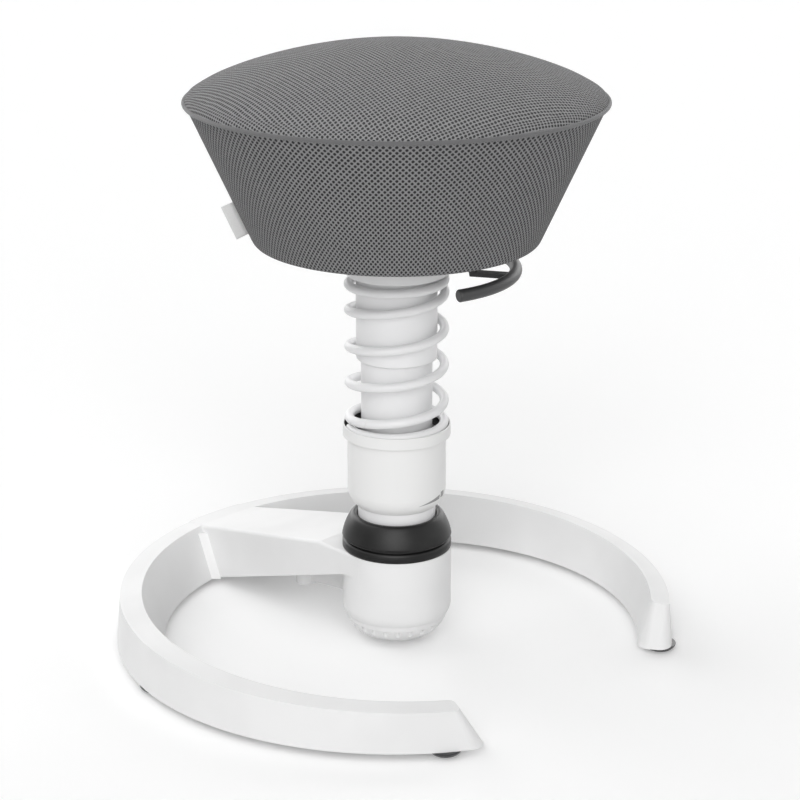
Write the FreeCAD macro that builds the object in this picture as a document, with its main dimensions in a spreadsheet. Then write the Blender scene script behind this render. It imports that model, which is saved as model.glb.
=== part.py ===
import FreeCAD, Part
import Sketcher
import os
import re
from math import atan, cos, degrees, hypot, pi, radians, sin, sqrt, tan
from FreeCAD import Placement, Rotation, Vector

# Wobble stool. A C-shaped foot ring carries a pot on an arm; in the pot a ball foot leans in rubber;
# on it stands a telescopic column with a coil spring, and on that a gas spring with a round seat.
# Z is up, the floor is at z = 0, the arm points along +Y and the mouth of the ring along -Y.

DIMENSIONS = {
    # Place of the upright axis: the outline's box is centred on the origin
    "axis_y": -20.93,
    # Foot ring, a tapering channel section that is bigger beside the arm than at its two tips
    "ring_floor_gap": 6.0,
    "ring_outer_low": 260.0,
    "ring_outer_high": 256.0,
    "ring_outer_shift": 2.8,
    "ring_inner_low": 221.5,
    "ring_inner_high": 237.0,
    "ring_inner_low_shift": -5.5,
    "ring_inner_high_shift": -1.5,
    "ring_height": 42.6,
    "ring_crown_fall": 0.134,
    "ring_crown_tilt": 1.36,
    "ring_wall": 5.0,
    "ring_roof": 7.0,
    "ring_crown_setback": 6.1,
    "mouth_half_angle": 30.25,
    "mouth_turn": 1.45,
    "tip_slope": 31.5,
    "tip_round_low": 12.5,
    "tip_round_high": 6.0,
    "tip_wall": 30.0,
    "rib_count": 14.0,
    "rib_thickness": 4.0,
    # Arm from the ring up to the pot
    "arm_half_width": 37.5,
    "arm_reach": 215.0,
    "arm_top_low_y": 236.0,
    "arm_top_low_z": 54.2,
    "arm_saddle_fall": 0.08,
    "arm_saddle_inset": 0.2,
    "arm_top_high_y": 56.0,
    "arm_under_low_y": 211.0,
    "arm_under_high_y": 26.0,
    "arm_under_high_z": 67.0,
    "arm_wall": 6.0,
    "arm_edge_round": 3.0,
    "crease_facet": 10.5,
    "crease_overlap": 3.0,
    "keel_boss_y": 122.0,
    "keel_boss_radius": 10.5,
    "keel_boss_z": 17.0,
    "keel_thickness": 8.0,
    "keel_low_z": 27.5,
    # Pot that holds the rubber
    "pot_radius": 50.75,
    "pot_top_z": 90.6,
    "pot_bottom_z": 26.2,
    "pot_foot_radius": 48.0,
    "pot_foot_height": 9.0,
    "pot_bore": 44.75,
    "pot_low_bore": 40.0,
    "pot_floor": 4.8,
    "key_top_z": 42.3,
    "key_width": 5.0,
    "key_depth": 3.0,
    # Rubber core, the ball foot in it, and their common centre
    "pivot_z": 66.0,
    "seat_gap": 0.3,
    "core_half_height": 18.0,
    "ball_radius": 20.0,
    "stem_radius": 13.0,
    "core_cone_start": 13.0,
    "core_mouth_gap": 4.5,
    "keeper_bottom_z": 78.0,
    "keeper_top_z": 88.9,
    # Gaiter of rubber round the foot of the column
    "gaiter_radius": 50.4,
    "gaiter_inner": 42.0,
    "gaiter_ring_height": 8.4,
    "gaiter_ring_round": 1.2,
    "gaiter_groove_depth": 1.6,
    "gaiter_groove_width": 2.4,
    "dome_radius": 51.6,
    "dome_centre_z": 93.0,
    "dome_wall": 5.0,
    "dome_lip_fall": 0.6,
    "dome_crest_radius": 39.2,
    "dome_crest_z": 122.8,
    "dome_neck_gap": 0.55,
    "dome_shoulder_fall": 1.0,
    "dome_shoulder_round": 2.6,
    "dome_crest_round": 4.0,
    # Knob under the pot that sets how stiff the rubber is
    "knob_gap": 0.8,
    "knob_radius": 46.3,
    "knob_band": 4.2,
    "knob_band_step": 0.8,
    "knob_floor_gap": 7.0,
    "knob_flat_radius": 33.0,
    "knob_bowl_round": 22.0,
    "knob_wall": 3.0,
    "knob_hub_radius": 18.0,
    "knob_hub_foot": 2.0,
    "knob_grip_count": 24.0,
    "knob_grip_radius": 2.2,
    "knob_grip_circle": 43.6,
    "spindle_radius": 8.0,
    "spindle_flange": 15.0,
    "spindle_top_z": 42.0,
    "clip_width": 4.0,
    "clip_mouth": 4.0,
    "clip_thickness": 1.5,
    "plate_thickness": 4.0,
    "plate_lift": 2.0,
    # Column tube with its threaded foot
    "neck_radius": 35.85,
    "neck_top_z": 185.0,
    "neck_edge_round": 1.5,
    "tube_radius": 32.5,
    "tube_bore": 29.5,
    "tube_bottom_z": 106.0,
    "tube_floor": 4.0,
    "tube_top_z": 298.0,
    "spigot_radius": 8.0,
    "nut_flats": 22.0,
    "nut_height": 8.0,
    "buffer_bore": 13.8,
    "buffer_radius": 28.0,
    "buffer_height": 15.5,
    "buffer_edge_round": 2.5,
    "bush_length": 20.0,
    "bush_flange": 2.0,
    # Fits, and how far a cutting tool runs past what it cuts
    "running_fit": 0.1,
    "tool_margin": 1.0,
    "tool_reach": 200.0,
    # Cup that carries the spring and sets its preload
    "cup_rim_radius": 49.5,
    "cup_rim_height": 10.9,
    "cup_rim_bottom_z": 199.7,
    "cup_body_radius": 45.3,
    "cup_shoulder_z": 148.0,
    "cup_bottom_z": 133.0,
    "cup_bottom_radius": 37.4,
    "cup_thread_top_z": 165.0,
    "cup_bore": 41.0,
    "cup_rim_bore": 48.1,
    "cup_step_z": 201.7,
    "cup_edge_round": 0.6,
    "cup_taper_round": 21.0,
    "pad_bore": 38.2,
    "pad_thickness": 1.2,
    # Coil spring
    "wire_radius": 4.2,
    "coil_radius": 43.3,
    "coil_pitch": 34.1,
    "coil_phase": 144.8,
    # Sprung carriage: sleeve, collar and standpipe
    "sleeve_radius": 36.8,
    "sleeve_bore": 33.0,
    "sleeve_bottom_z": 272.3,
    "collar_radius": 45.75,
    "collar_bottom_z": 351.5,
    "collar_height": 14.5,
    "collar_web": 4.0,
    "collar_edge_round": 1.0,
    "pipe_radius": 25.0,
    "pipe_bore": 22.0,
    "pipe_bottom_z": 186.0,
    "pipe_floor": 4.0,
    "stop_ring_radius": 28.5,
    "stop_ring_height": 4.0,
    "stop_ring_mouth": 3.75,
    "guide_height": 10.0,
    "gas_bush_length": 38.0,
    # Gas spring
    "rod_radius": 5.0,
    "rod_bottom_z": 181.0,
    "rod_top_z": 330.0,
    "rod_clip_width": 3.0,
    "rod_clip_mouth": 2.5,
    "piston_radius": 11.7,
    "piston_height": 4.0,
    "bearing_radius": 14.0,
    "bearing_height": 4.0,
    "bearing_groove": 1.0,
    "gas_radius": 14.0,
    "gas_bore": 12.0,
    "gas_bottom_z": 198.0,
    "gas_seal_height": 8.0,
    "gas_chamber_top_z": 362.0,
    "cone_bottom_z": 372.0,
    "cone_top_z": 402.0,
    "cone_top_radius": 13.2,
    "button_radius": 4.0,
    "button_height": 2.0,
    "button_length": 20.0,
    # Seat mechanism and lever
    "hub_bottom_z": 374.0,
    "hub_radius": 20.0,
    "hub_house_radius": 32.0,
    "hub_house_wall": 4.0,
    "hub_house_bottom_z": 398.0,
    "hub_top_z": 414.0,
    "hub_flange_radius": 62.0,
    "hub_flange": 4.0,
    "hub_screw_circle": 52.0,
    "hub_screw_radius": 3.0,
    "hub_screw_head": 5.5,
    "hub_screw_head_height": 3.0,
    "lever_azimuth": -61.0,
    "lever_pivot_reach": 22.0,
    "lever_pin_radius": 2.0,
    "lever_pin_half": 21.0,
    "lever_slant": 4.4,
    "lever_eye_radius": 4.0,
    "lever_width": 10.0,
    "lever_thickness": 4.0,
    "lever_knee_reach": 30.0,
    "lever_drop_reach": 60.0,
    "lever_drop_z": 396.0,
    "lever_low_reach": 68.0,
    "lever_slot_side": 1.0,
    "grip_ring_radius": 106.5,
    "grip_z": 356.0,
    "grip_radius": 5.6,
    "grip_half_angle": 45.4,
    "grip_end_round": 1.6,
    "grip_bite": 3.0,
    # Seat
    "seat_bottom_z": 382.7,
    "seat_bottom_radius": 127.5,
    "seat_rim_z": 508.0,
    "piping_ring_radius": 185.3,
    "piping_radius": 2.2,
    "crown_height": 49.7,
    "cover_thickness": 2.0,
    "seat_corner_round": 9.0,
    "hem_width": 17.0,
    "pan_thickness": 3.0,
    "pan_flange_width": 22.0,
    "pan_margin": 29.5,
    "pan_draft": 4.0,
    "tag_azimuth": 141.0,
    "tag_length": 34.0,
    "tag_reach": 11.0,
    "tag_thickness": 0.9,
    "tag_low_z": 386.5,
    # Floor glides
    "glide_circle": 246.5,
    "glide_radius": 14.8,
    "glide_foot_radius": 9.5,
    "glide_boss_radius": 12.0,
    "glide_stem_radius": 4.0,
    "glide_stem_length": 12.0,
}

GLIDE_AZIMUTHS = (-126.5, -54.0, 16.5, 90.0, 163.5)

doc = FreeCAD.newDocument("wobble_stool")
sheet = doc.addObject("Spreadsheet::Sheet", "Sizes")
for row, (alias, number) in enumerate(DIMENSIONS.items(), start=1):
    sheet.set(f"A{row}", alias)
    sheet.set(f"B{row}", str(number))
    sheet.setAlias(f"B{row}", alias)
doc.recompute()

ALIAS = re.compile(r"\b(" + "|".join(DIMENSIONS) + r")\b")
NODES = []


def bound(expression):
    """The expression as another object writes it, with every alias read from the sheet."""
    return ALIAS.sub(r"Sizes.\1", expression)


def size(expression):
    """The number that an expression on the sheet's aliases gives now, in mm or degrees."""
    found = sheet.evalExpression(bound(expression))
    return float(getattr(found, "Value", found))


def bind(thing, name, expression):
    thing.setExpression(name, bound(expression))


def node(thing, label, azimuth="0"):
    """Registers a finished sub-part under the name of its file and sets it on the column's axis."""
    thing.Label = label
    stand = Placement(Vector(0, size("axis_y"), 0), Rotation(Vector(0, 0, 1), size(azimuth)))
    thing.Placement = stand.multiply(thing.Placement)
    NODES.append(thing)
    return thing


def new_body(name):
    return doc.addObject("PartDesign::Body", "body_" + name)


def plane_of(body, role):
    return next(plane for plane in body.Origin.OriginFeatures if plane.Role == role)


def new_sketch(body, name, role, lift="0", turn="0"):
    """A sketch flat on one of the body's own planes, lifted and turned about the plane's normal."""
    sketch = body.newObject("Sketcher::SketchObject", name)
    sketch.AttachmentSupport = (plane_of(body, role), "")
    sketch.MapMode = "FlatFace"
    bind(sketch, "AttachmentOffset.Base.z", lift)
    if turn != "0":
        sketch.AttachmentOffset = Placement(Vector(), Rotation(Vector(0, 0, 1), size(turn)))
        bind(sketch, "AttachmentOffset.Rotation.Angle", turn)
    return sketch


def fix_point(sketch, index, end, x_text, y_text):
    """Holds one end of a line or arc at a place given by two expressions."""
    for kind, text in (("DistanceX", x_text), ("DistanceY", y_text)):
        number = sketch.addConstraint(Sketcher.Constraint(kind, -1, 1, index, end, size(text)))
        bind(sketch, f"Constraints[{number}]", text)


def arc_between(start, end, radius):
    """The short arc from start to end; a positive radius bulges to the right of the way."""
    middle = (start + end) * 0.5
    way = end - start
    side = Vector(way.y, -way.x, 0).normalize() * (1 if radius > 0 else -1)
    sagitta = abs(radius) - sqrt(radius ** 2 - (way.Length / 2) ** 2)
    return Part.Arc(start, middle + side * sagitta, end)


def draw_outline(sketch, points):
    """A closed outline. Each point is (x, y) or (x, y, radius): the radius bends the line that leaves it."""
    places = [Vector(size(point[0]), size(point[1]), 0) for point in points]
    for index, point in enumerate(points):
        start, end = places[index], places[(index + 1) % len(places)]
        if len(point) == 3:
            sketch.addGeometry(arc_between(start, end, size(point[2])))
        else:
            sketch.addGeometry(Part.LineSegment(start, end))
    # A sketch runs every arc anticlockwise, so one that bulges to the left starts at its far end
    ends = [(2, 1) if len(point) == 3 and size(point[2]) < 0 else (1, 2) for point in points]
    for index, point in enumerate(points):
        after = (index + 1) % len(points)
        sketch.addConstraint(Sketcher.Constraint("Coincident", index, ends[index][1], after, ends[after][0]))
        fix_point(sketch, index, ends[index][0], point[0], point[1])
        if len(point) == 3:
            number = sketch.addConstraint(Sketcher.Constraint("Radius", index, abs(size(point[2]))))
            bind(sketch, f"Constraints[{number}]", f"abs({point[2]})")
    return sketch


def draw_circle(sketch, radius, x_text="0", y_text="0"):
    index = sketch.addGeometry(Part.Circle(Vector(size(x_text), size(y_text), 0), Vector(0, 0, 1), size(radius)))
    fix_point(sketch, index, 3, x_text, y_text)
    number = sketch.addConstraint(Sketcher.Constraint("Radius", index, size(radius)))
    bind(sketch, f"Constraints[{number}]", radius)
    return sketch


def revolve(body, sketch, kind="Revolution", axis="V_Axis"):
    turn = body.newObject("PartDesign::" + kind, kind)
    turn.Profile = sketch
    turn.ReferenceAxis = (sketch, [axis])
    turn.Angle = 360
    sketch.Visibility = False
    return turn


def turned(label, points):
    """A piece turned about the column's axis from one half outline of (radius, height) points."""
    body = new_body(label)
    sketch = draw_outline(new_sketch(body, label + "_outline", "XZ_Plane"), points)
    revolve(body, sketch)
    doc.recompute()
    return body


def round_rims(body, radius, places):
    """Rounds the circular edges of a turned piece that lie at the given (radius, height) places."""
    doc.recompute()
    base = body.Tip
    wanted = [(size(r), size(z)) for r, z in places]
    names = []
    for number, edge in enumerate(base.Shape.Edges, start=1):
        box = edge.BoundBox
        if box.ZLength > 0.01 or not edge.Closed:
            continue
        if any(hypot(box.XLength / 2 - r, box.ZMin - z) < 0.02 for r, z in wanted):
            names.append(f"Edge{number}")
    if len(names) < len(wanted):
        raise RuntimeError(f"{body.Name}: only {len(names)} of {len(wanted)} rims to round were found")
    fillet = body.newObject("PartDesign::Fillet", "Round")
    fillet.Base = (base, names)
    bind(fillet, "Radius", radius)
    doc.recompute()
    return fillet


def pocket(body, sketch, reverse=False, through=True, length="1"):
    """Cuts a sketch out of a body and makes sure that it took something away."""
    before = body.Tip.Shape.Volume
    cut = body.newObject("PartDesign::Pocket", "Pocket")
    cut.Profile = sketch
    cut.Type = "ThroughAll" if through else "Length"
    if not through:
        bind(cut, "Length", length)
    cut.Reversed = reverse
    doc.recompute()
    if cut.Shape.Volume > before - 1e-3:
        raise RuntimeError(f"{sketch.Name} cuts nothing")
    return cut


def pad(body, sketch, length, middle=False, reverse=False):
    boss = body.newObject("PartDesign::Pad", "Pad")
    boss.Profile = sketch
    bind(boss, "Length", length)
    boss.Midplane = middle
    boss.Reversed = reverse
    return boss


def polar(body, feature, sketch, count):
    """Repeats a feature about the column's axis."""
    ring = body.newObject("PartDesign::PolarPattern", "Ring")
    ring.Originals = [feature]
    ring.Axis = (sketch, ["N_Axis"])
    ring.Angle = 360
    bind(ring, "Occurrences", count)
    body.Tip = ring
    return ring


def fixed(name, shape):
    """A helper solid that other operations of this model use."""
    thing = doc.addObject("Part::Feature", name)
    thing.Shape = shape
    return thing


def spun(shape, azimuth, centre=Vector(0, 0, 0)):
    """A copy of the shape turned about the column's axis."""
    copy = shape.copy()
    copy.rotate(centre, Vector(0, 0, 1), azimuth)
    return copy


# Foot ring: the C-shaped casting with its arm and pot
BEYOND_RING = "(ring_outer_low * 1.25)"


def ring_blank():
    """The solid C: a leaning outer wall, a leaning bore, a tilted crown and two sloping ends."""
    body = new_body("ring_blank")
    low, high = "ring_floor_gap", "ring_floor_gap + ring_height"
    grow = "1.5"
    over = f"ring_floor_gap + ring_height * {grow}"
    outer = [
        draw_circle(new_sketch(body, "outer_low", "XY_Plane", low), "ring_outer_low", "0", "ring_outer_shift"),
        draw_circle(new_sketch(body, "outer_over", "XY_Plane", over),
                    f"ring_outer_low + (ring_outer_high - ring_outer_low) * {grow}", "0", "ring_outer_shift"),
    ]
    loft = body.newObject("PartDesign::AdditiveLoft", "Outer")
    loft.Profile = outer[0]
    loft.Sections = [outer[1]]
    inner = [
        draw_circle(new_sketch(body, "inner_low", "XY_Plane", low),
                    "ring_inner_low", "0", "ring_inner_low_shift"),
        draw_circle(new_sketch(body, "inner_over", "XY_Plane", over),
                    f"ring_inner_low + (ring_inner_high - ring_inner_low) * {grow}", "0",
                    f"ring_inner_low_shift + (ring_inner_high_shift - ring_inner_low_shift) * {grow}"),
    ]
    bore = body.newObject("PartDesign::SubtractiveLoft", "Bore")
    bore.Profile = inner[0]
    bore.Sections = [inner[1]]
    near, far = "ring_inner_low * 0.9", "ring_outer_low * 1.1"
    crown = draw_outline(new_sketch(body, "crown", "YZ_Plane", "0", "ring_crown_tilt"), [
        (near, f"{high} - ring_crown_fall * ({near} - ring_inner_high)"),
        (far, f"{high} - ring_crown_fall * ({far} - ring_inner_high)"),
        (far, "ring_height * 3"),
        (near, "ring_height * 3"),
    ])
    revolve(body, crown, "Groove")
    length = BEYOND_RING
    back = f"ring_height * {grow} * tan(tip_slope) / sin(mouth_half_angle)"
    mouth = []
    for name, lift, apex in (("mouth_low", low, "0"), ("mouth_over", over, back)):
        corner = f"({length} + {apex}) * tan(mouth_half_angle)"
        mouth.append(draw_outline(new_sketch(body, name, "XY_Plane", lift, "mouth_turn"), [
            ("0", apex), (f"-1 * {corner}", f"-1 * {length}"), (corner, f"-1 * {length}")]))
    gap = body.newObject("PartDesign::SubtractiveLoft", "Mouth")
    gap.Profile = mouth[0]
    gap.Sections = [mouth[1]]
    gap.Ruled = True
    doc.recompute()
    return body


def tip_edges(shape):
    """The four upright edges of the two end faces, as (number, radius at start, radius at end)."""
    low, high = size("tip_round_low"), size("tip_round_high")
    found = []
    for number, edge in enumerate(shape.Edges, start=1):
        first, last = edge.Vertexes[0].Point, edge.Vertexes[-1].Point
        if first.y < -100 and last.y < -100 and abs(first.z - last.z) > size("ring_height") / 2:
            found.append((number, low, high) if first.z < last.z else (number, high, low))
    return found


def rounded(name, base, edges):
    """A Part fillet; edges are (number, radius at start, radius at end)."""
    fillet = doc.addObject("Part::Fillet", name)
    fillet.Base = base
    fillet.Edges = edges
    doc.recompute()
    return fillet


def ring_shell():
    """The C with its ends rounded."""
    blank = ring_blank()
    return rounded("ring_tips", blank, tip_edges(blank.Shape))


def ring_hollow():
    """What is hollow under the ring: an open channel between ribs, with round bosses for the glides."""
    low = size("ring_floor_gap")
    roof = low + size("ring_height") - size("ring_roof") - size("ring_crown_setback")
    wall = size("ring_wall")
    height = roof - low
    lean_out = (size("ring_outer_high") - size("ring_outer_low")) / size("ring_height")
    lean_in = (size("ring_inner_high") - size("ring_inner_low")) / size("ring_height")
    below = size("tool_margin")
    outer = Part.makeCone(
        size("ring_outer_low") - wall - lean_out * below,
        size("ring_outer_low") - wall + lean_out * height,
        height + below, Vector(0, size("ring_outer_shift"), low - below))
    inner = Part.makeCone(
        size("ring_inner_low") + wall - lean_in * below,
        size("ring_inner_low") + wall + lean_in * height,
        height + below, Vector(0, size("ring_inner_low_shift"), low - below))
    hollow = outer.cut(inner)
    reach = size(BEYOND_RING)
    half = radians(size("mouth_half_angle"))
    back = size("tip_wall") / sin(half)
    corner = (reach + back) * tan(half)
    wedge = Part.Face(Part.makePolygon([
        Vector(0, back, 0), Vector(-corner, -reach, 0), Vector(corner, -reach, 0), Vector(0, back, 0)]))
    hollow = hollow.cut(spun(wedge.extrude(Vector(0, 0, size("tool_reach"))), size("mouth_turn")))
    count = round(size("rib_count"))
    spread = 360 - 2 * size("mouth_half_angle")
    kept = []
    for index in range(1, count):
        rib = Part.makeBox(size("rib_thickness"), reach, size("tool_reach"),
                           Vector(-size("rib_thickness") / 2, 0, 0))
        kept.append(spun(rib, 180 + size("mouth_turn + mouth_half_angle") + spread * index / count))
    for azimuth in GLIDE_AZIMUTHS:
        boss = Part.makeCylinder(size("glide_boss_radius"), size("tool_reach"), Vector(size("glide_circle"), 0, 0))
        kept.append(spun(boss, azimuth))
    return hollow.cut(kept)


def arm_solid():
    """The arm: its plan, narrowing from the pot to the ring, cut by its side view."""
    body = new_body("arm")
    lean = "(pot_radius - arm_half_width) / arm_reach"
    root = f"pot_radius / cos(atan({lean}))"
    tip_y = BEYOND_RING
    tip = f"{root} - {lean} * ({tip_y})"
    plan = draw_outline(new_sketch(body, "arm_plan", "XY_Plane"), [
        (f"-1 * ({root})", "0"), (root, "0"), (tip, tip_y), (f"-1 * ({tip})", tip_y)])
    pad(body, plan, "pot_top_z")
    doc.recompute()
    above = draw_outline(new_sketch(body, "arm_above", "YZ_Plane"), [
        ("arm_top_high_y", "pot_top_z"),
        ("arm_top_low_y", "arm_top_low_z"),
        (BEYOND_RING, f"arm_top_low_z - arm_saddle_fall * ({BEYOND_RING} - arm_top_low_y)"),
        (BEYOND_RING, "pot_top_z * 2"),
        ("arm_top_high_y", "pot_top_z * 2")])
    top = pocket(body, above)
    top.Midplane = True
    rise = "(arm_under_high_z - ring_floor_gap) / (arm_under_low_y - arm_under_high_y)"
    below = draw_outline(new_sketch(body, "arm_below", "YZ_Plane"), [
        ("arm_under_low_y", "-1 * tool_margin"), ("arm_under_low_y", "ring_floor_gap"),
        ("arm_under_high_y", "arm_under_high_z"),
        ("-1 * pot_radius", "arm_under_high_z"), ("-1 * pot_radius", "-1 * tool_margin")])
    under = pocket(body, below)
    under.Midplane = True
    foot = draw_outline(new_sketch(body, "arm_foot", "YZ_Plane"), [
        ("arm_under_low_y - 5", "-1 * tool_margin"), ("arm_under_low_y - 5", "ring_floor_gap"),
        (BEYOND_RING, "ring_floor_gap"), (BEYOND_RING, "-1 * tool_margin")])
    flat = pocket(body, foot)
    flat.Midplane = True
    doc.recompute()
    names = []
    for number, edge in enumerate(flat.Shape.Edges, start=1):
        first, last = (vertex.Point for vertex in edge.Vertexes)
        if min(first.z, last.z) > size("arm_top_low_z * 0.8") and abs(first.y - last.y) > size("arm_wall"):
            names.append(f"Edge{number}")
    fillet = body.newObject("PartDesign::Fillet", "Round")
    fillet.Base = (flat, names)
    bind(fillet, "Radius", "arm_edge_round")
    doc.recompute()
    return combine("Common", "arm_in_ring", body, ring_outside())


def ring_outside():
    """All that lies inside the ring's leaning outer wall, for the arm to end at."""
    lean = size("(ring_outer_high - ring_outer_low) / ring_height")
    below, above = size("ring_floor_gap"), size("pot_top_z - ring_floor_gap")
    foot = size("ring_outer_low - arm_saddle_inset")
    cone = Part.makeCone(foot - lean * below, foot + lean * above, below + above,
                         Vector(0, size("ring_outer_shift"), 0))
    return fixed("ring_outside", cone)


def arm_hollow():
    """The space under the arm's roof, between its side walls and clear of the pot."""
    wall = size("arm_wall")
    pot = size("pot_radius")
    lean = (pot - size("arm_half_width")) / size("arm_reach")
    root = pot * sqrt(1 + lean ** 2) - wall
    far = size("ring_inner_low + ring_inner_low_shift")
    fall = size("(pot_top_z - arm_top_low_z) / (arm_top_low_y - arm_top_high_y)")
    high = size("pot_top_z") - wall
    bend = size("arm_top_high_y")
    plan = Part.Face(Part.makePolygon([
        Vector(-root, 0, 0), Vector(root, 0, 0), Vector(root - lean * far, far, 0),
        Vector(lean * far - root, far, 0), Vector(-root, 0, 0)]))
    side = Part.Face(Part.makePolygon([
        Vector(-pot * 2, 0, 0), Vector(-pot * 2, 0, high), Vector(-pot * 2, bend, high),
        Vector(-pot * 2, far, high - fall * (far - bend)), Vector(-pot * 2, far, 0), Vector(-pot * 2, 0, 0)]))
    hollow = plan.extrude(Vector(0, 0, size("tool_reach"))).common(side.extrude(Vector(pot * 4, 0, 0)))
    return hollow.cut(Part.makeCylinder(pot, size("tool_reach")))


def keel_solid():
    """The rib and round boss that stand down under the arm, beside the pot."""
    y, r = size("keel_boss_y"), size("keel_boss_radius")
    fall = size("(pot_top_z - arm_top_low_z) / (arm_top_low_y - arm_top_high_y)")
    roof = size("pot_top_z") - fall * (y - size("arm_top_high_y")) - size("arm_wall") / 2
    half = size("keel_thickness") / 2
    near = size("pot_radius - arm_wall / 2")
    low, end = size("keel_low_z"), size("keel_boss_z") + size("arm_wall") / 2
    rib = Part.Face(Part.makePolygon([
        Vector(-half, near, low), Vector(-half, y, end), Vector(-half, y, roof),
        Vector(-half, near, roof), Vector(-half, near, low)])).extrude(Vector(2 * half, 0, 0))
    boss = Part.makeCylinder(r, roof - size("keel_boss_z") - fall * r, Vector(0, y, size("keel_boss_z")))
    return rib.fuse(boss)


def pot_solid():
    return turned("pot", [
        ("0", "pot_bottom_z"), ("pot_foot_radius", "pot_bottom_z", "pot_foot_height * 1.6"),
        ("pot_radius", "pot_bottom_z + pot_foot_height"), ("pot_radius", "pot_top_z"), ("0", "pot_top_z")])


def pot_hollow():
    """The bore of the pot: a straight mouth, a round seat for the core and a narrower chamber below."""
    floor = "pot_bottom_z + pot_floor"
    seat_z = "pivot_z - sqrt(pot_bore ^ 2 - pot_low_bore ^ 2)"
    body = turned("pot_bore", [
        ("0", "-1 * tool_margin"), ("spindle_radius + running_fit", "-1 * tool_margin"), ("spindle_radius + running_fit", floor),
        ("pot_low_bore", floor), ("pot_low_bore", seat_z, "pot_bore"),
        ("pot_bore", "pivot_z"), ("pot_bore", "pot_top_z + tool_margin"), ("0", "pot_top_z + tool_margin")])
    keys = []
    top = size("key_top_z")
    for azimuth in (0, 120, 240):
        key = Part.makeBox(size("key_depth + tool_margin"), size("key_width"), top,
                           Vector(size("pot_low_bore - key_depth"), -size("key_width") / 2, 0))
        keys.append(spun(key, azimuth))
    return body.Shape.cut(keys)


def crease_solids():
    """The flat facets that fill the corners between the arm's sides and the ring's leaning bore."""
    lean = size("(pot_radius - arm_half_width) / arm_reach")
    root = size("pot_radius") * sqrt(1 + lean ** 2)
    width = size("crease_facet") / sqrt(2)
    along = Vector(lean, -1, 0).normalize() * width
    inset = size("crease_overlap")
    solids = []
    for side in (-1, 1):
        wires = []
        for part in (0.0, 1.0):
            radius = size("ring_inner_low") + part * size("ring_inner_high - ring_inner_low")
            shift = size("ring_inner_low_shift") + part * size("ring_inner_high_shift - ring_inner_low_shift")
            y = size("arm_reach")
            for _ in range(6):
                y = shift + sqrt(radius ** 2 - (root - lean * y) ** 2)
            x = root - lean * y
            tangent = Vector(y - shift, -x, 0).normalize() * width
            corner = Vector(x, y, 0)
            back = corner + Vector(-inset, inset, 0)
            z = size("ring_floor_gap") + part * size("ring_height")
            points = [corner + along, corner + tangent, back]
            points = [Vector(point.x * side, point.y, z) for point in points]
            wires.append(Part.makePolygon(points + points[:1]))
        solids.append(Part.makeLoft(wires, True, True))
    return solids


def combine(kind, name, base, tool):
    """One boolean step between two objects of the model."""
    step = doc.addObject("Part::" + kind, name)
    step.Base = base
    step.Tool = tool
    doc.recompute()
    return step


def foot_ring():
    """Joins ring, arm and pot one after the other, then opens the hollows and bores."""
    solid = combine("Fuse", "ring_with_arm", ring_shell(), arm_solid())
    solid = combine("Fuse", "ring_with_pot", solid, pot_solid())
    creases = fixed("creases", Part.makeCompound(crease_solids()))
    solid = combine("Fuse", "ring_creased", solid, creases)
    solid = combine("Cut", "ring_opened", solid, fixed("ring_channel", ring_hollow()))
    solid = combine("Cut", "arm_opened", solid, fixed("arm_channel", arm_hollow()))
    solid = combine("Fuse", "ring_keeled", solid, fixed("keel", keel_solid()))
    holes = pot_hollow()
    for azimuth in GLIDE_AZIMUTHS:
        hole = Part.makeCylinder(size("glide_stem_radius"), size("glide_stem_length + tool_margin"),
                                 Vector(size("glide_circle"), 0, size("ring_floor_gap - tool_margin")))
        holes = holes.fuse(spun(hole, azimuth))
    return node(combine("Cut", "casting", solid, fixed("casting_bores", holes)), "foot_ring")


def floor_glides():
    """Five glides, one beside each boss of the ring."""
    form = turned("glide", [
        ("0", "0"), ("glide_foot_radius", "0", "ring_floor_gap * 1.5"),
        ("glide_radius", "ring_floor_gap * 0.8"), ("glide_radius", "ring_floor_gap"),
        ("glide_stem_radius", "ring_floor_gap"),
        ("glide_stem_radius", "ring_floor_gap + glide_stem_length"),
        ("0", "ring_floor_gap + glide_stem_length")])
    glide = form.Shape.copy()
    glide.translate(Vector(size("glide_circle"), 0, 0))
    glides = [spun(glide, azimuth) for azimuth in GLIDE_AZIMUTHS]
    return node(fixed("glides", Part.makeCompound(glides)), "floor_glides")


# Rubber bearing in the pot
def core_keeper():
    rise = "sqrt(pot_bore ^ 2 - (keeper_{0}_z - pivot_z) ^ 2)"
    low, high = rise.format("bottom"), rise.format("top")
    body = turned("core_keeper", [
        ("pot_bore", "keeper_bottom_z"), ("pot_bore", "keeper_top_z"), (high, "keeper_top_z", "-1 * pot_bore"),
        (low, "keeper_bottom_z")])
    return node(body, "core_keeper")


def rubber_core():
    """A barrel of rubber whose outside and bore are parts of two balls with one centre."""
    outside = "pot_bore - seat_gap"
    bore = "ball_radius + seat_gap"
    low, high = "pivot_z - core_half_height", "pivot_z + core_half_height"
    rim = f"sqrt(({outside}) ^ 2 - core_half_height ^ 2)"
    waist = f"sqrt(({bore}) ^ 2 - core_cone_start ^ 2)"
    foot = f"sqrt(({bore}) ^ 2 - core_half_height ^ 2)"
    body = turned("rubber_core", [
        (rim, low, outside), (rim, high), ("stem_radius + core_mouth_gap", high),
        (waist, "pivot_z + core_cone_start", f"-1 * ({bore})"), (foot, low)])
    return node(body, "rubber_core")


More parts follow.
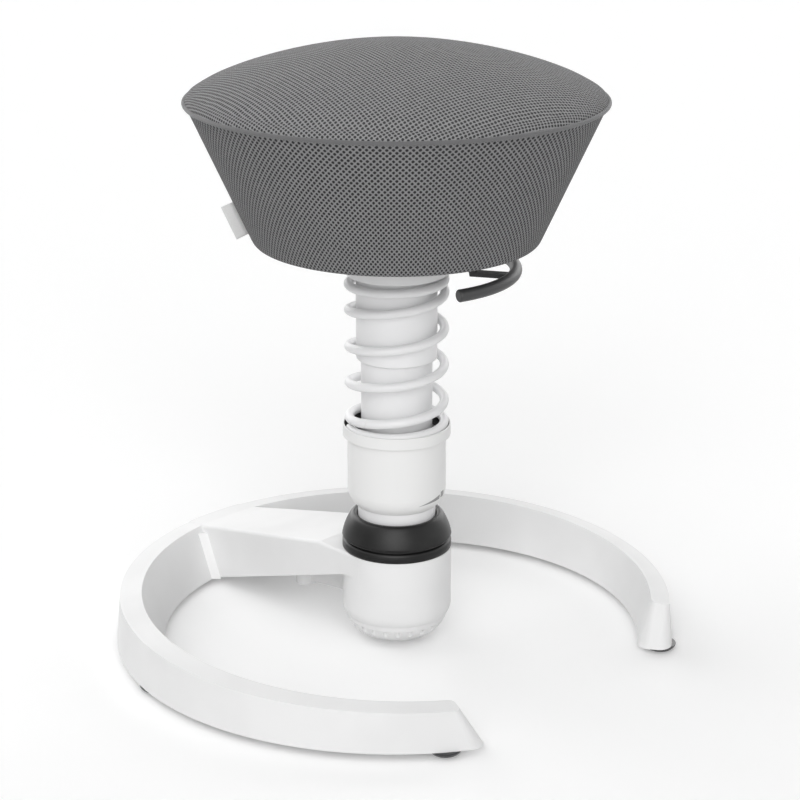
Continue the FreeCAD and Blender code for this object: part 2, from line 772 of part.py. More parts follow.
def ball_foot():
    """The ball, its stem and the spigot that goes up through the floor of the column tube."""
    shoulder = "pivot_z + sqrt(ball_radius ^ 2 - stem_radius ^ 2)"
    top = "tube_bottom_z + tube_floor + nut_height + 1"
    body = turned("ball_foot", [
        ("0", "pivot_z - ball_radius", "ball_radius"), ("ball_radius", "pivot_z", "ball_radius"),
        ("stem_radius", shoulder), ("stem_radius", "tube_bottom_z"), ("spigot_radius", "tube_bottom_z"),
        ("spigot_radius", top), ("0", top)])
    return node(body, "ball_foot")


def foot_nut():
    body = new_body("foot_nut")
    sketch = new_sketch(body, "nut_outline", "XY_Plane", "tube_bottom_z + tube_floor")
    corners = []
    for index in range(6):
        angle = 60 * index
        corners.append((f"nut_flats / sqrt(3) * cos({angle})", f"nut_flats / sqrt(3) * sin({angle})"))
    draw_outline(sketch, corners)
    draw_circle(sketch, "spigot_radius")
    pad(body, sketch, "nut_height")
    doc.recompute()
    return node(body, "foot_nut")


def pressure_plate():
    """The steel plate that the knob's spindle lifts against the rubber; three notches stop it turning."""
    low = "pot_bottom_z + pot_floor + plate_lift"
    body = new_body("pressure_plate")
    disc = new_sketch(body, "plate_outline", "XY_Plane", low)
    draw_circle(disc, "pot_low_bore - seat_gap")
    draw_circle(disc, "spindle_radius + running_fit")
    pad(body, disc, "plate_thickness")
    doc.recompute()
    near = "pot_low_bore - key_depth - seat_gap"
    side = "key_width / 2 + seat_gap"
    notch = new_sketch(body, "notch", "XY_Plane", low)
    draw_outline(notch, [(near, f"-1 * ({side})"), ("pot_low_bore + tool_margin", f"-1 * ({side})"),
                         ("pot_low_bore + tool_margin", side), (near, side)])
    cut = pocket(body, notch, reverse=True)
    polar(body, cut, disc, "3")
    doc.recompute()
    return node(body, "pressure_plate")


def stiffness_knob():
    """A shallow bowl: a smooth band over a belt of fine grips, and a hub for the spindle."""
    top = "pot_bottom_z - knob_gap"
    band = f"{top} - knob_band"
    body = turned("stiffness_knob", [
        ("0", "knob_floor_gap"), ("knob_flat_radius", "knob_floor_gap", "knob_bowl_round"),
        ("knob_radius - knob_band_step", band), ("knob_radius", band), ("knob_radius", top),
        ("knob_radius - knob_wall", top), ("knob_radius - knob_wall", band),
        ("knob_hub_radius + knob_hub_foot", "knob_floor_gap + knob_wall"),
        ("knob_hub_radius", "knob_floor_gap + knob_wall"),
        ("knob_hub_radius", band), ("spindle_radius", band),
        ("spindle_radius", "knob_floor_gap + knob_wall"), ("0", "knob_floor_gap + knob_wall")])
    grip = new_sketch(body, "grip", "XY_Plane", "knob_floor_gap - tool_margin")
    draw_circle(grip, "knob_grip_radius", "knob_grip_circle", "0")
    cut = pocket(body, grip, reverse=True, through=False, length=f"{band} - knob_floor_gap")
    polar(body, cut, grip, "knob_grip_count")
    doc.recompute()
    return node(body, "stiffness_knob")


def knob_spindle():
    flange_top = "pot_bottom_z - seat_gap"
    flange_low = "pot_bottom_z - knob_gap - knob_band"
    body = turned("knob_spindle", [
        ("0", "knob_floor_gap + knob_wall"), ("spindle_radius", "knob_floor_gap + knob_wall"),
        ("spindle_radius", flange_low), ("spindle_flange", flange_low), ("spindle_flange", flange_top),
        ("spindle_radius", flange_top), ("spindle_radius", "spindle_top_z"), ("0", "spindle_top_z")])
    return node(body, "knob_spindle")


def open_ring(label, bore, outside, low, height, mouth):
    """A flat spring clip: a washer with a piece of its ring cut out."""
    body = new_body(label)
    sketch = new_sketch(body, label + "_outline", "XY_Plane", low)
    draw_circle(sketch, outside)
    draw_circle(sketch, bore)
    pad(body, sketch, height)
    doc.recompute()
    gap = new_sketch(body, label + "_gap", "XY_Plane", low)
    draw_outline(gap, [("0", f"-1 * ({mouth})"), (f"{outside} + tool_margin", f"-1 * ({mouth})"),
                       (f"{outside} + tool_margin", mouth), ("0", mouth)])
    pocket(body, gap, reverse=True)
    return node(body, label)


def spindle_clip():
    return open_ring("spindle_clip", "spindle_radius", "spindle_radius + clip_width",
                     "pot_bottom_z + pot_floor + seat_gap", "clip_thickness", "clip_mouth")


def gaiter_ring():
    top = "pot_top_z + gaiter_ring_height"
    body = turned("gaiter_ring", [
        ("gaiter_inner", "keeper_top_z"), ("pot_bore", "keeper_top_z"), ("pot_bore", "pot_top_z"),
        ("gaiter_radius", "pot_top_z", "gaiter_ring_height * 3"), ("gaiter_radius", top),
        ("gaiter_inner", top)])
    round_rims(body, "gaiter_ring_round", [("gaiter_radius", top)])
    return node(body, "gaiter_ring")


def gaiter_dome():
    """A ball-shaped rubber skirt from the groove above the gaiter ring up to a lip round the neck."""
    low = "pot_top_z + gaiter_ring_height + running_fit"
    start = f"{low} + gaiter_groove_width"
    outer = f"sqrt(dome_radius ^ 2 - ({start} - dome_centre_z) ^ 2)"
    crest = "dome_crest_z - dome_shoulder_fall"
    shoulder = f"sqrt(dome_radius ^ 2 - ({crest} - dome_centre_z) ^ 2)"
    inside = f"sqrt((dome_radius - dome_wall) ^ 2 - ({start} - dome_centre_z) ^ 2)"
    lip = "neck_radius + dome_neck_gap"
    under = f"dome_centre_z + sqrt((dome_radius - dome_wall) ^ 2 - ({lip}) ^ 2)"
    body = turned("gaiter_dome", [
        (f"{outer} - gaiter_groove_depth", low),
        (f"{outer} - gaiter_groove_depth", f"{low} + gaiter_groove_width / 2"),
        (outer, start, "dome_radius"), (shoulder, crest, "dome_shoulder_round"),
        ("dome_crest_radius", "dome_crest_z", "dome_crest_round"), (lip, "dome_crest_z - dome_lip_fall"),
        (lip, under, "-1 * (dome_radius - dome_wall)"), (inside, start), (f"{inside} - gaiter_groove_depth", low)])
    return node(body, "gaiter_dome")


# Column tube and what sits in and on it
def column_tube():
    body = turned("column_tube", [
        ("spigot_radius", "tube_bottom_z"), ("neck_radius", "tube_bottom_z"), ("neck_radius", "neck_top_z"),
        ("tube_radius", "neck_top_z"), ("tube_radius", "tube_top_z"), ("tube_bore", "tube_top_z"),
        ("tube_bore", "tube_bottom_z + tube_floor"), ("spigot_radius", "tube_bottom_z + tube_floor")])
    round_rims(body, "neck_edge_round", [("neck_radius", "tube_bottom_z")])
    return node(body, "column_tube")


def bounce_buffer():
    low = "tube_bottom_z + tube_floor"
    body = turned("bounce_buffer", [
        ("buffer_bore", low), ("buffer_radius", low), ("buffer_radius", f"{low} + buffer_height"),
        ("buffer_bore", f"{low} + buffer_height")])
    round_rims(body, "buffer_edge_round", [("buffer_radius", f"{low} + buffer_height")])
    return node(body, "bounce_buffer")


def tube_bush():
    low = "tube_top_z - bush_length"
    body = turned("tube_bush", [
        ("pipe_radius + running_fit", low), ("tube_bore", low), ("tube_bore", "tube_top_z"),
        ("tube_radius", "tube_top_z"), ("tube_radius", "tube_top_z + bush_flange"),
        ("pipe_radius + running_fit", "tube_top_z + bush_flange")])
    return node(body, "tube_bush")


def preload_cup():
    """A rim that holds the spring, a body, a rounded shoulder and a threaded bottom round the neck."""
    rim_top = "cup_rim_bottom_z + cup_rim_height"
    body = turned("preload_cup", [
        ("neck_radius + running_fit", "cup_bottom_z"), ("cup_bottom_radius", "cup_bottom_z", "cup_taper_round"),
        ("cup_body_radius", "cup_shoulder_z"), ("cup_body_radius", "cup_rim_bottom_z"),
        ("cup_rim_radius", "cup_rim_bottom_z"), ("cup_rim_radius", rim_top), ("cup_rim_bore", rim_top),
        ("cup_rim_bore", "cup_step_z"), ("cup_bore", "cup_step_z"), ("cup_bore", "cup_thread_top_z"),
        ("neck_radius + running_fit", "cup_thread_top_z")])
    round_rims(body, "cup_edge_round", [("cup_rim_radius", rim_top), ("cup_rim_radius", "cup_rim_bottom_z")])
    return node(body, "preload_cup")


def spring_pad():
    low = "cup_step_z + seat_gap"
    body = turned("spring_pad", [
        ("pad_bore", low), ("cup_rim_bore - seat_gap", low), ("cup_rim_bore - seat_gap", f"{low} + pad_thickness"),
        ("pad_bore", f"{low} + pad_thickness")])
    return node(body, "spring_pad")


def coil_spring():
    """Round wire with a closed turn at each end and an even pitch between, rising to the right."""
    wire, mean, pitch = size("wire_radius"), size("coil_radius"), size("coil_pitch")
    low = size("cup_step_z + seat_gap + pad_thickness + running_fit") + wire
    high = size("collar_bottom_z - running_fit") - wire
    closed = 2 * wire + size("seat_gap")
    open_turns = (high - low - 2 * closed) / pitch
    turns = open_turns + 2

    def height(turn):
        if turn < 1:
            return low + closed * turn
        if turn > turns - 1:
            return high - closed * (turns - turn)
        return low + closed + pitch * (turn - 1)

    steps = round(turns * 8)
    points = []
    for step in range(steps + 1):
        turn = turns * step / steps
        angle = radians(size("coil_phase")) + 2 * pi * turn
        points.append(Vector(mean * cos(angle), mean * sin(angle), height(turn)))
    line = Part.BSplineCurve()
    line.interpolate(points)
    path = Part.Wire(line.toShape())
    section = Part.Wire(Part.Circle(points[0], line.tangent(line.FirstParameter)[0], wire).toShape())
    return node(fixed("spring_coil", path.makePipeShell([section], True, True)), "coil_spring")


# Carriage that slides on the column
def upper_sleeve():
    body = turned("upper_sleeve", [
        ("sleeve_bore", "sleeve_bottom_z"), ("sleeve_radius", "sleeve_bottom_z"),
        ("sleeve_radius", "collar_bottom_z + collar_height - collar_web"),
        ("sleeve_bore", "collar_bottom_z + collar_height - collar_web")])
    round_rims(body, "2.0", [("sleeve_radius", "sleeve_bottom_z")])
    return node(body, "upper_sleeve")


def top_collar():
    top = "collar_bottom_z + collar_height"
    body = turned("top_collar", [
        ("sleeve_radius", "collar_bottom_z"), ("collar_radius", "collar_bottom_z"), ("collar_radius", top),
        ("pipe_radius", top), ("pipe_radius", f"{top} - collar_web"), ("sleeve_radius", f"{top} - collar_web")])
    round_rims(body, "collar_edge_round", [("collar_radius", "collar_bottom_z"), ("collar_radius", top)])
    return node(body, "top_collar")


def standpipe():
    top = "collar_bottom_z + collar_height"
    body = turned("standpipe", [
        ("rod_radius + running_fit", "pipe_bottom_z"), ("pipe_radius", "pipe_bottom_z"), ("pipe_radius", top),
        ("pipe_bore", top), ("pipe_bore", "pipe_bottom_z + pipe_floor"),
        ("rod_radius + running_fit", "pipe_bottom_z + pipe_floor")])
    return node(body, "standpipe")


def stop_ring():
    top = "tube_top_z - bush_length - seat_gap"
    return open_ring("stop_ring", "pipe_radius", "stop_ring_radius", f"{top} - stop_ring_height",
                     "stop_ring_height", "stop_ring_mouth")


def pipe_guide():
    low = "pipe_bottom_z + pipe_floor"
    body = turned("pipe_guide", [
        ("pipe_radius", low), ("tube_bore - running_fit", low), ("tube_bore - running_fit", f"{low} + guide_height"),
        ("pipe_radius", f"{low} + guide_height")])
    return node(body, "pipe_guide")


def gas_bush():
    top = "collar_bottom_z + collar_height"
    body = turned("gas_bush", [
        ("gas_radius + running_fit", f"{top} - gas_bush_length"), ("pipe_bore", f"{top} - gas_bush_length"),
        ("pipe_bore", top), ("pipe_radius", top), ("pipe_radius", f"{top} + bush_flange"),
        ("gas_radius + running_fit", f"{top} + bush_flange")])
    return node(body, "gas_bush")


# Gas spring
def piston_rod():
    body = turned("piston_rod", [
        ("0", "rod_bottom_z"), ("rod_radius", "rod_bottom_z"), ("rod_radius", "rod_top_z - piston_height"),
        ("piston_radius", "rod_top_z - piston_height"), ("piston_radius", "rod_top_z"), ("0", "rod_top_z")])
    return node(body, "piston_rod")


def thrust_bearing():
    """Two washers with a cage of balls between them, drawn as one ring with a groove."""
    low = "pipe_bottom_z + pipe_floor"
    groove = "bearing_height / 4"
    body = turned("thrust_bearing", [
        ("rod_radius", low), ("bearing_radius", low), ("bearing_radius", f"{low} + {groove}"),
        ("bearing_radius - bearing_groove", f"{low} + {groove}"),
        ("bearing_radius - bearing_groove", f"{low} + bearing_height - {groove}"),
        ("bearing_radius", f"{low} + bearing_height - {groove}"), ("bearing_radius", f"{low} + bearing_height"),
        ("rod_radius", f"{low} + bearing_height")])
    return node(body, "thrust_bearing")


def rod_clip():
    return open_ring("rod_clip", "rod_radius", "rod_radius + rod_clip_width",
                     "pipe_bottom_z - seat_gap - clip_thickness", "clip_thickness", "rod_clip_mouth")


def gas_cylinder():
    """A steel tube with a tapered head that the seat's hub sits on and a bore for the release button."""
    button = "button_radius + running_fit"
    button_low = "cone_top_z - button_length - button_height"
    body = turned("gas_cylinder", [
        ("gas_bore", "gas_bottom_z"), ("gas_radius", "gas_bottom_z"), ("gas_radius", "cone_bottom_z"),
        ("cone_top_radius", "cone_top_z"), (button, "cone_top_z"), (button, button_low),
        ("0", button_low), ("0", "gas_chamber_top_z"), ("gas_bore", "gas_chamber_top_z")])
    return node(body, "gas_cylinder")


def gas_seal():
    low = "gas_bottom_z"
    body = turned("gas_seal", [
        ("rod_radius + running_fit", low), ("gas_bore", low), ("gas_bore", f"{low} + gas_seal_height"),
        ("rod_radius + running_fit", f"{low} + gas_seal_height")])
    return node(body, "gas_seal")


def release_button():
    body = turned("release_button", [
        ("0", "cone_top_z - button_length + button_height"),
        ("button_radius", "cone_top_z - button_length + button_height"),
        ("button_radius", "cone_top_z + button_height"), ("0", "cone_top_z + button_height")])
    return node(body, "release_button")


# Seat mechanism: parts of the lever are drawn along +X and turned to the lever's azimuth
LEVER_FOOT = "cone_top_z + button_height + seat_gap"


def seat_hub():
    """The cast hub: a tapered socket, an open house for the lever and a flange for four screws."""
    taper = "(gas_radius - cone_top_radius) / (cone_top_z - cone_bottom_z)"
    low = f"gas_radius - {taper} * (hub_bottom_z - cone_bottom_z)"
    inside = "hub_house_radius - hub_house_wall"
    body = turned("seat_hub", [
        (low, "hub_bottom_z"), ("hub_radius", "hub_bottom_z"), ("hub_radius", "hub_house_bottom_z"),
        ("hub_house_radius", "hub_house_bottom_z"), ("hub_house_radius", "hub_top_z - hub_flange"),
        ("hub_flange_radius", "hub_top_z - hub_flange"), ("hub_flange_radius", "hub_top_z"),
        (inside, "hub_top_z"), (inside, "hub_house_bottom_z + hub_house_wall"),
        ("cone_top_radius", "cone_top_z")])
    slot = new_sketch(body, "lever_slot", "YZ_Plane")
    half = "lever_width / 2 + lever_slot_side"
    draw_outline(slot, [
        (f"-1 * ({half})", "hub_house_bottom_z + hub_house_wall"), (half, "hub_house_bottom_z + hub_house_wall"),
        (half, "hub_top_z - hub_flange"), (f"-1 * ({half})", "hub_top_z - hub_flange")])
    pocket(body, slot, reverse=True, through=False, length="hub_house_radius + tool_margin")
    pin = new_sketch(body, "pin_hole", "XZ_Plane")
    draw_circle(pin, "lever_pin_radius", "lever_pivot_reach", f"{LEVER_FOOT} + lever_thickness / 2")
    through = pocket(body, pin)
    through.Midplane = True
    hole = new_sketch(body, "screw_hole", "XY_Plane", "hub_top_z")
    draw_circle(hole, "hub_screw_radius", "hub_screw_circle * cos(45)", "hub_screw_circle * sin(45)")
    first = pocket(body, hole)
    polar(body, first, hole, "4")
    doc.recompute()
    return node(body, "seat_hub", "lever_azimuth")


def hub_screws():
    form = turned("screw", [
        ("0", "hub_top_z - hub_flange - hub_screw_head_height"),
        ("hub_screw_head", "hub_top_z - hub_flange - hub_screw_head_height"),
        ("hub_screw_head", "hub_top_z - hub_flange"), ("hub_screw_radius", "hub_top_z - hub_flange"),
        ("hub_screw_radius", "hub_top_z + pan_thickness"), ("0", "hub_top_z + pan_thickness")])
    screw = form.Shape.copy()
    screw.translate(Vector(size("hub_screw_circle"), 0, 0))
    screws = [spun(screw, 45 + 90 * index) for index in range(4)]
    return node(fixed("screws", Part.makeCompound(screws)), "hub_screws", "lever_azimuth")


def lever_pin():
    half = size("lever_pin_half")
    pin = doc.addObject("Part::Cylinder", "pin")
    bind(pin, "Radius", "lever_pin_radius")
    pin.Height = 2 * half
    doc.recompute()
    shape = pin.Shape.copy()
    shape.rotate(Vector(), Vector(1, 0, 0), 90)
    shape.translate(Vector(size("lever_pivot_reach"), half,
                           size(f"{LEVER_FOOT} + lever_thickness / 2")))
    return node(fixed("pin_solid", shape), "lever_pin", "lever_azimuth")


def lever_arm():
    """A flat steel strip over the button, out through the hub, down past the pan and out to the grip."""
    body = new_body("lever_arm")
    high = LEVER_FOOT
    thick = "lever_thickness"
    slant = "lever_slant"
    end = "grip_ring_radius - grip_radius + grip_bite"
    side = draw_outline(new_sketch(body, "strip", "XZ_Plane"), [
        ("-1 * button_radius", high), ("lever_knee_reach", high), ("lever_drop_reach", "lever_drop_z"),
        ("lever_low_reach", f"grip_z - {thick} / 2"), (end, f"grip_z - {thick} / 2"),
        (end, f"grip_z + {thick} / 2"), (f"lever_low_reach + {slant}", f"grip_z + {thick} / 2"),
        (f"lever_drop_reach + {slant}", f"lever_drop_z + {thick}"), ("lever_knee_reach", f"{high} + {thick}"),
        ("-1 * button_radius", f"{high} + {thick}")])
    pad(body, side, "lever_width", middle=True)
    doc.recompute()
    eye = new_sketch(body, "eye", "XZ_Plane")
    draw_circle(eye, "lever_eye_radius", "lever_pivot_reach", f"{high} + {thick} / 2")
    pad(body, eye, "lever_width", middle=True)
    doc.recompute()
    pin = new_sketch(body, "pin_bore", "XZ_Plane")
    draw_circle(pin, "lever_pin_radius + running_fit", "lever_pivot_reach", f"{high} + {thick} / 2")
    through = pocket(body, pin)
    through.Midplane = True
    doc.recompute()
    return node(body, "lever_arm", "lever_azimuth")


def lever_grip():
    """A round bar bent to follow the seat, slotted in the middle for the end of the strip."""
    bar = doc.addObject("Part::Torus", "grip_bar")
    bind(bar, "Radius1", "grip_ring_radius")
    bind(bar, "Radius2", "grip_radius")
    bind(bar, "Angle3", "grip_half_angle * 2")
    doc.recompute()
    rounds = []
    for number, edge in enumerate(bar.Shape.Edges, start=1):
        if edge.Closed and abs(edge.Length - 2 * pi * size("grip_radius")) < 0.01:
            rounds.append((number, size("grip_end_round"), size("grip_end_round")))
    ends = rounded("grip_ends", bar, rounds)
    shape = spun(ends.Shape, -size("grip_half_angle"))
    shape.translate(Vector(0, 0, size("grip_z")))
    inner = size("grip_ring_radius - grip_radius")
    slot = Part.makeBox(size("grip_bite + grip_radius"), size("lever_width"), size("lever_thickness"),
                        Vector(inner - size("grip_radius"), -size("lever_width") / 2,
                               size("grip_z - lever_thickness / 2")))
    return node(fixed("grip_solid", shape.cut(slot)), "lever_grip", "lever_azimuth")


# Seat
SIDE_LEAN = "(piping_ring_radius - seat_bottom_radius) / (seat_rim_z - seat_bottom_z)"
SIDE_TOP = "seat_rim_z - piping_radius"
SKIN = f"cover_thickness * sqrt(1 + ({SIDE_LEAN}) ^ 2)"


PAN_EDGE = "(seat_bottom_radius - pan_margin)"
PAN_RIM = f"({PAN_EDGE} + pan_flange_width)"


def side_at(height):
    return f"seat_bottom_radius + ({SIDE_LEAN}) * ({height} - seat_bottom_z)"


def dome_round(edge, rise):
    """The radius of a ball's cap from the reach of its edge and its rise."""
    return f"((({edge}) ^ 2 + ({rise}) ^ 2) / 2 / ({rise}))"


def seat_pan():
    """A moulded pan: a flat top on the hub, a skirt down to the seat's underside and a flange."""
    low = "seat_bottom_z + cover_thickness"
    top = "hub_top_z"
    thick = "pan_thickness"
    body = turned("seat_pan", [
        ("0", top), (f"{PAN_EDGE} - pan_draft", top), (PAN_EDGE, low), (PAN_RIM, low),
        (PAN_RIM, f"{low} + {thick}"), (f"{PAN_EDGE} + {thick}", f"{low} + {thick}"),
        (f"{PAN_EDGE} - pan_draft + {thick}", f"{top} + {thick}"), ("0", f"{top} + {thick}")])
    hole = new_sketch(body, "pan_hole", "XY_Plane", f"{top} + {thick}")
    draw_circle(hole, "hub_screw_radius", "hub_screw_circle * cos(45)", "hub_screw_circle * sin(45)")
    first = pocket(body, hole)
    polar(body, first, hole, "4")
    doc.recompute()
    return node(body, "seat_pan", "lever_azimuth")


def seat_foam():
    """The foam block, which fills the cover from the pan up to the crown."""
    low = "seat_bottom_z + cover_thickness"
    thick = "pan_thickness"
    top_pan = f"hub_top_z + {thick}"
    edge = "piping_ring_radius - cover_thickness"
    rise = "crown_height - piping_radius"
    body = turned("seat_foam", [
        ("0", top_pan), (f"{PAN_EDGE} - pan_draft + {thick}", top_pan),
        (f"{PAN_EDGE} + {thick}", f"{low} + {thick}"), (PAN_RIM, f"{low} + {thick}"), (PAN_RIM, low),
        (f"{side_at(low)} - {SKIN}", low), (f"{side_at(SIDE_TOP)} - {SKIN}", SIDE_TOP),
        (f"piping_ring_radius - piping_radius - {SKIN}", "seat_rim_z"),
        (edge, "seat_rim_z + piping_radius", dome_round(edge, f"{rise} - cover_thickness")),
        ("0", "seat_rim_z + crown_height - cover_thickness")])
    round_rims(body, "seat_corner_round - cover_thickness", [(f"{side_at(low)} - {SKIN}", low)])
    return node(body, "seat_foam")


def cover_side():
    """The sewn cone of fabric, turned under the seat in a hem."""
    low = "seat_bottom_z"
    high = "seat_bottom_z + cover_thickness"
    body = turned("cover_side", [
        ("seat_bottom_radius - hem_width", low), ("seat_bottom_radius", low), (side_at(SIDE_TOP), SIDE_TOP),
        (f"{side_at(SIDE_TOP)} - {SKIN}", SIDE_TOP), (f"{side_at(high)} - {SKIN}", high),
        ("seat_bottom_radius - hem_width", high)])
    round_rims(body, "seat_corner_round", [("seat_bottom_radius", low)])
    round_rims(body, "seat_corner_round - cover_thickness", [(f"{side_at(high)} - {SKIN}", high)])
    return node(body, "cover_side")


def cover_top():
    edge = "piping_ring_radius"
    low = "seat_rim_z + piping_radius"
    rise = "crown_height - piping_radius"
    body = turned("cover_top", [
        (edge, low, dome_round(edge, rise)), ("0", "seat_rim_z + crown_height"),
        ("0", "seat_rim_z + crown_height - cover_thickness",
         f"-1 * {dome_round(edge + ' - cover_thickness', rise + ' - cover_thickness')}"),
        (f"{edge} - cover_thickness", low)])
    return node(body, "cover_top")


def seat_piping():
    cord = doc.addObject("Part::Torus", "piping")
    bind(cord, "Radius1", "piping_ring_radius")
    bind(cord, "Radius2", "piping_radius")
    doc.recompute()
    shape = cord.Shape.copy()
    shape.translate(Vector(0, 0, size("seat_rim_z")))
    return node(fixed("piping_solid", shape), "seat_piping")


def seam_tag():
    """A folded ribbon sewn into the side seam; it stands straight out of the fabric."""
    body = new_body("seam_tag")
    slope = f"atan({SIDE_LEAN})"
    foot = side_at("tag_low_z")
    along = (f"tag_length * sin({slope})", f"tag_length * cos({slope})")
    out = (f"tag_reach * cos({slope})", f"tag_reach * sin({slope})")
    sketch = draw_outline(new_sketch(body, "tag_outline", "XZ_Plane"), [
        (foot, "tag_low_z"), (f"{foot} + {out[0]}", f"tag_low_z - {out[1]}"),
        (f"{foot} + {out[0]} + {along[0]}", f"tag_low_z - {out[1]} + {along[1]}"),
        (f"{foot} + {along[0]}", f"tag_low_z + {along[1]}")])
    pad(body, sketch, "tag_thickness", middle=True)
    doc.recompute()
    return node(body, "seam_tag", "tag_azimuth")


def build():
    """Makes every sub-part in the order in which the stool is put together."""
    for make in (
            foot_ring, floor_glides, core_keeper, rubber_core, pressure_plate, knob_spindle, spindle_clip,
            stiffness_knob, ball_foot, foot_nut, gaiter_ring, gaiter_dome, column_tube, bounce_buffer,
            tube_bush, preload_cup, spring_pad, coil_spring, upper_sleeve, top_collar, standpipe,
            stop_ring, pipe_guide, gas_bush, piston_rod, thrust_bearing, rod_clip, gas_cylinder,
            gas_seal, release_button, seat_hub, hub_screws, lever_pin, lever_arm, lever_grip, seat_pan,
            seat_foam, cover_side, cover_top, seat_piping, seam_tag):
        make()


def check():
    """Stops if any object failed or any sub-part's solid is missing or broken."""
    doc.recompute()
    failed = [thing.Label for thing in doc.Objects if {"Invalid", "Error"} & set(thing.State)]
    if failed:
        raise RuntimeError(f"failed: {failed}")
    for thing in NODES:
        shape = thing.Shape
        if shape.isNull() or not shape.isValid() or not shape.Solids:
            raise RuntimeError(f"{thing.Label} has no sound solid")


def write():
    os.makedirs("parts", exist_ok=True)
    for thing in NODES:
        thing.Shape.exportStep(f"parts/{thing.Label}.step")
        box = thing.Shape.BoundBox
        print(f"{thing.Label:16s} solids {len(thing.Shape.Solids)} volume {thing.Shape.Volume / 1000:8.2f} cm3 "
              f"z {box.ZMin:6.1f} to {box.ZMax:6.1f}")
    whole = FreeCAD.BoundBox()
    for thing in NODES:
        whole.add(thing.Shape.BoundBox)
    print("box", whole)


build()
check()
write()
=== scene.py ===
# %% [markdown]
# # Wobble stool: looks around a imported CAD frame
# The hard parts of this stool (ring, column, hub, lever) come finished from CAD and stay where they are.
# This lesson gives them finishes and makes what CAD is poor at: a stuffed seat in mesh cloth, a rubber
# gaiter in two halves and a coil spring in two pieces.
# Everything is in metres, Z is up, and the column stands at x = 0, y = AXIS. Directions round the column
# are in degrees, and the photograph is taken from VIEW_FROM.

# %% Load the frame
import math

import bmesh
import bpy
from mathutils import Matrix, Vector


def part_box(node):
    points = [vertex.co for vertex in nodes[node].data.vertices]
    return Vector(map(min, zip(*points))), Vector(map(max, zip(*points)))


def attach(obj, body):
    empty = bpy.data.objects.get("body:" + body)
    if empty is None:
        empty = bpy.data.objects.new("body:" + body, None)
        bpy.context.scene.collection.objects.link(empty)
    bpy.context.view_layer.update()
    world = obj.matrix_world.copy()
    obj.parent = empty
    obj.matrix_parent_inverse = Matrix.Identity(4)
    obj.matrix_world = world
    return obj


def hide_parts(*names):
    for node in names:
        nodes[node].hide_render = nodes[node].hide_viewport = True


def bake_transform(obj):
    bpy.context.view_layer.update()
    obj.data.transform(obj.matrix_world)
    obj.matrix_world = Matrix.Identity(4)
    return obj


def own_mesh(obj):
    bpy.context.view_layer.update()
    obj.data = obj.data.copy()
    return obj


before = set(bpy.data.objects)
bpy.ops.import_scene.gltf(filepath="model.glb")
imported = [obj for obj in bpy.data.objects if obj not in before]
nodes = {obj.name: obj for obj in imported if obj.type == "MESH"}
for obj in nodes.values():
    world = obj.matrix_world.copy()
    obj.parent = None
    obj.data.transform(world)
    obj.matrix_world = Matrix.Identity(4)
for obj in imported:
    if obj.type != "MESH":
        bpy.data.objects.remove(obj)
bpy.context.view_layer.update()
low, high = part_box("column_tube")
AXIS = (low.y + high.y) / 2
VIEW_FROM = -136.0

# %% [markdown]
# ## Shader maths as plain expressions
# Node trees are hard to read as a list of links. Wrapping a socket in a small class lets us write
# `1 - mask * 0.3` and have Python add the Math nodes. Each finish is one object with one method that
# adds any other node.

# %% A socket that does sums
class Level:
    """A number that changes over a surface: an output socket with ordinary arithmetic."""

    def __init__(self, finish, socket):
        self.finish, self.socket = finish, socket

    def sum(self, operation, *others):
        values = {0: self, **{i + 1: other for i, other in enumerate(others)}}
        return self.finish.node("ShaderNodeMath", {"operation": operation}, values)

    def __add__(self, other):
        return self.sum("ADD", other)

    def __radd__(self, other):
        return self + other

    def __mul__(self, other):
        return self.sum("MULTIPLY", other)

    def __sub__(self, other):
        return self.sum("SUBTRACT", other)

    def __rsub__(self, other):
        return self * -1 + other

    def __truediv__(self, other):
        return self.sum("DIVIDE", other)

    def __pow__(self, other):
        return self.sum("POWER", other)

    def between(self, start, end):
        """0 below start, 1 above end, smooth in between."""
        return self.finish.node("ShaderNodeMapRange", {"interpolation_type": "SMOOTHSTEP"},
                                {"Value": self, "From Min": start, "From Max": end})


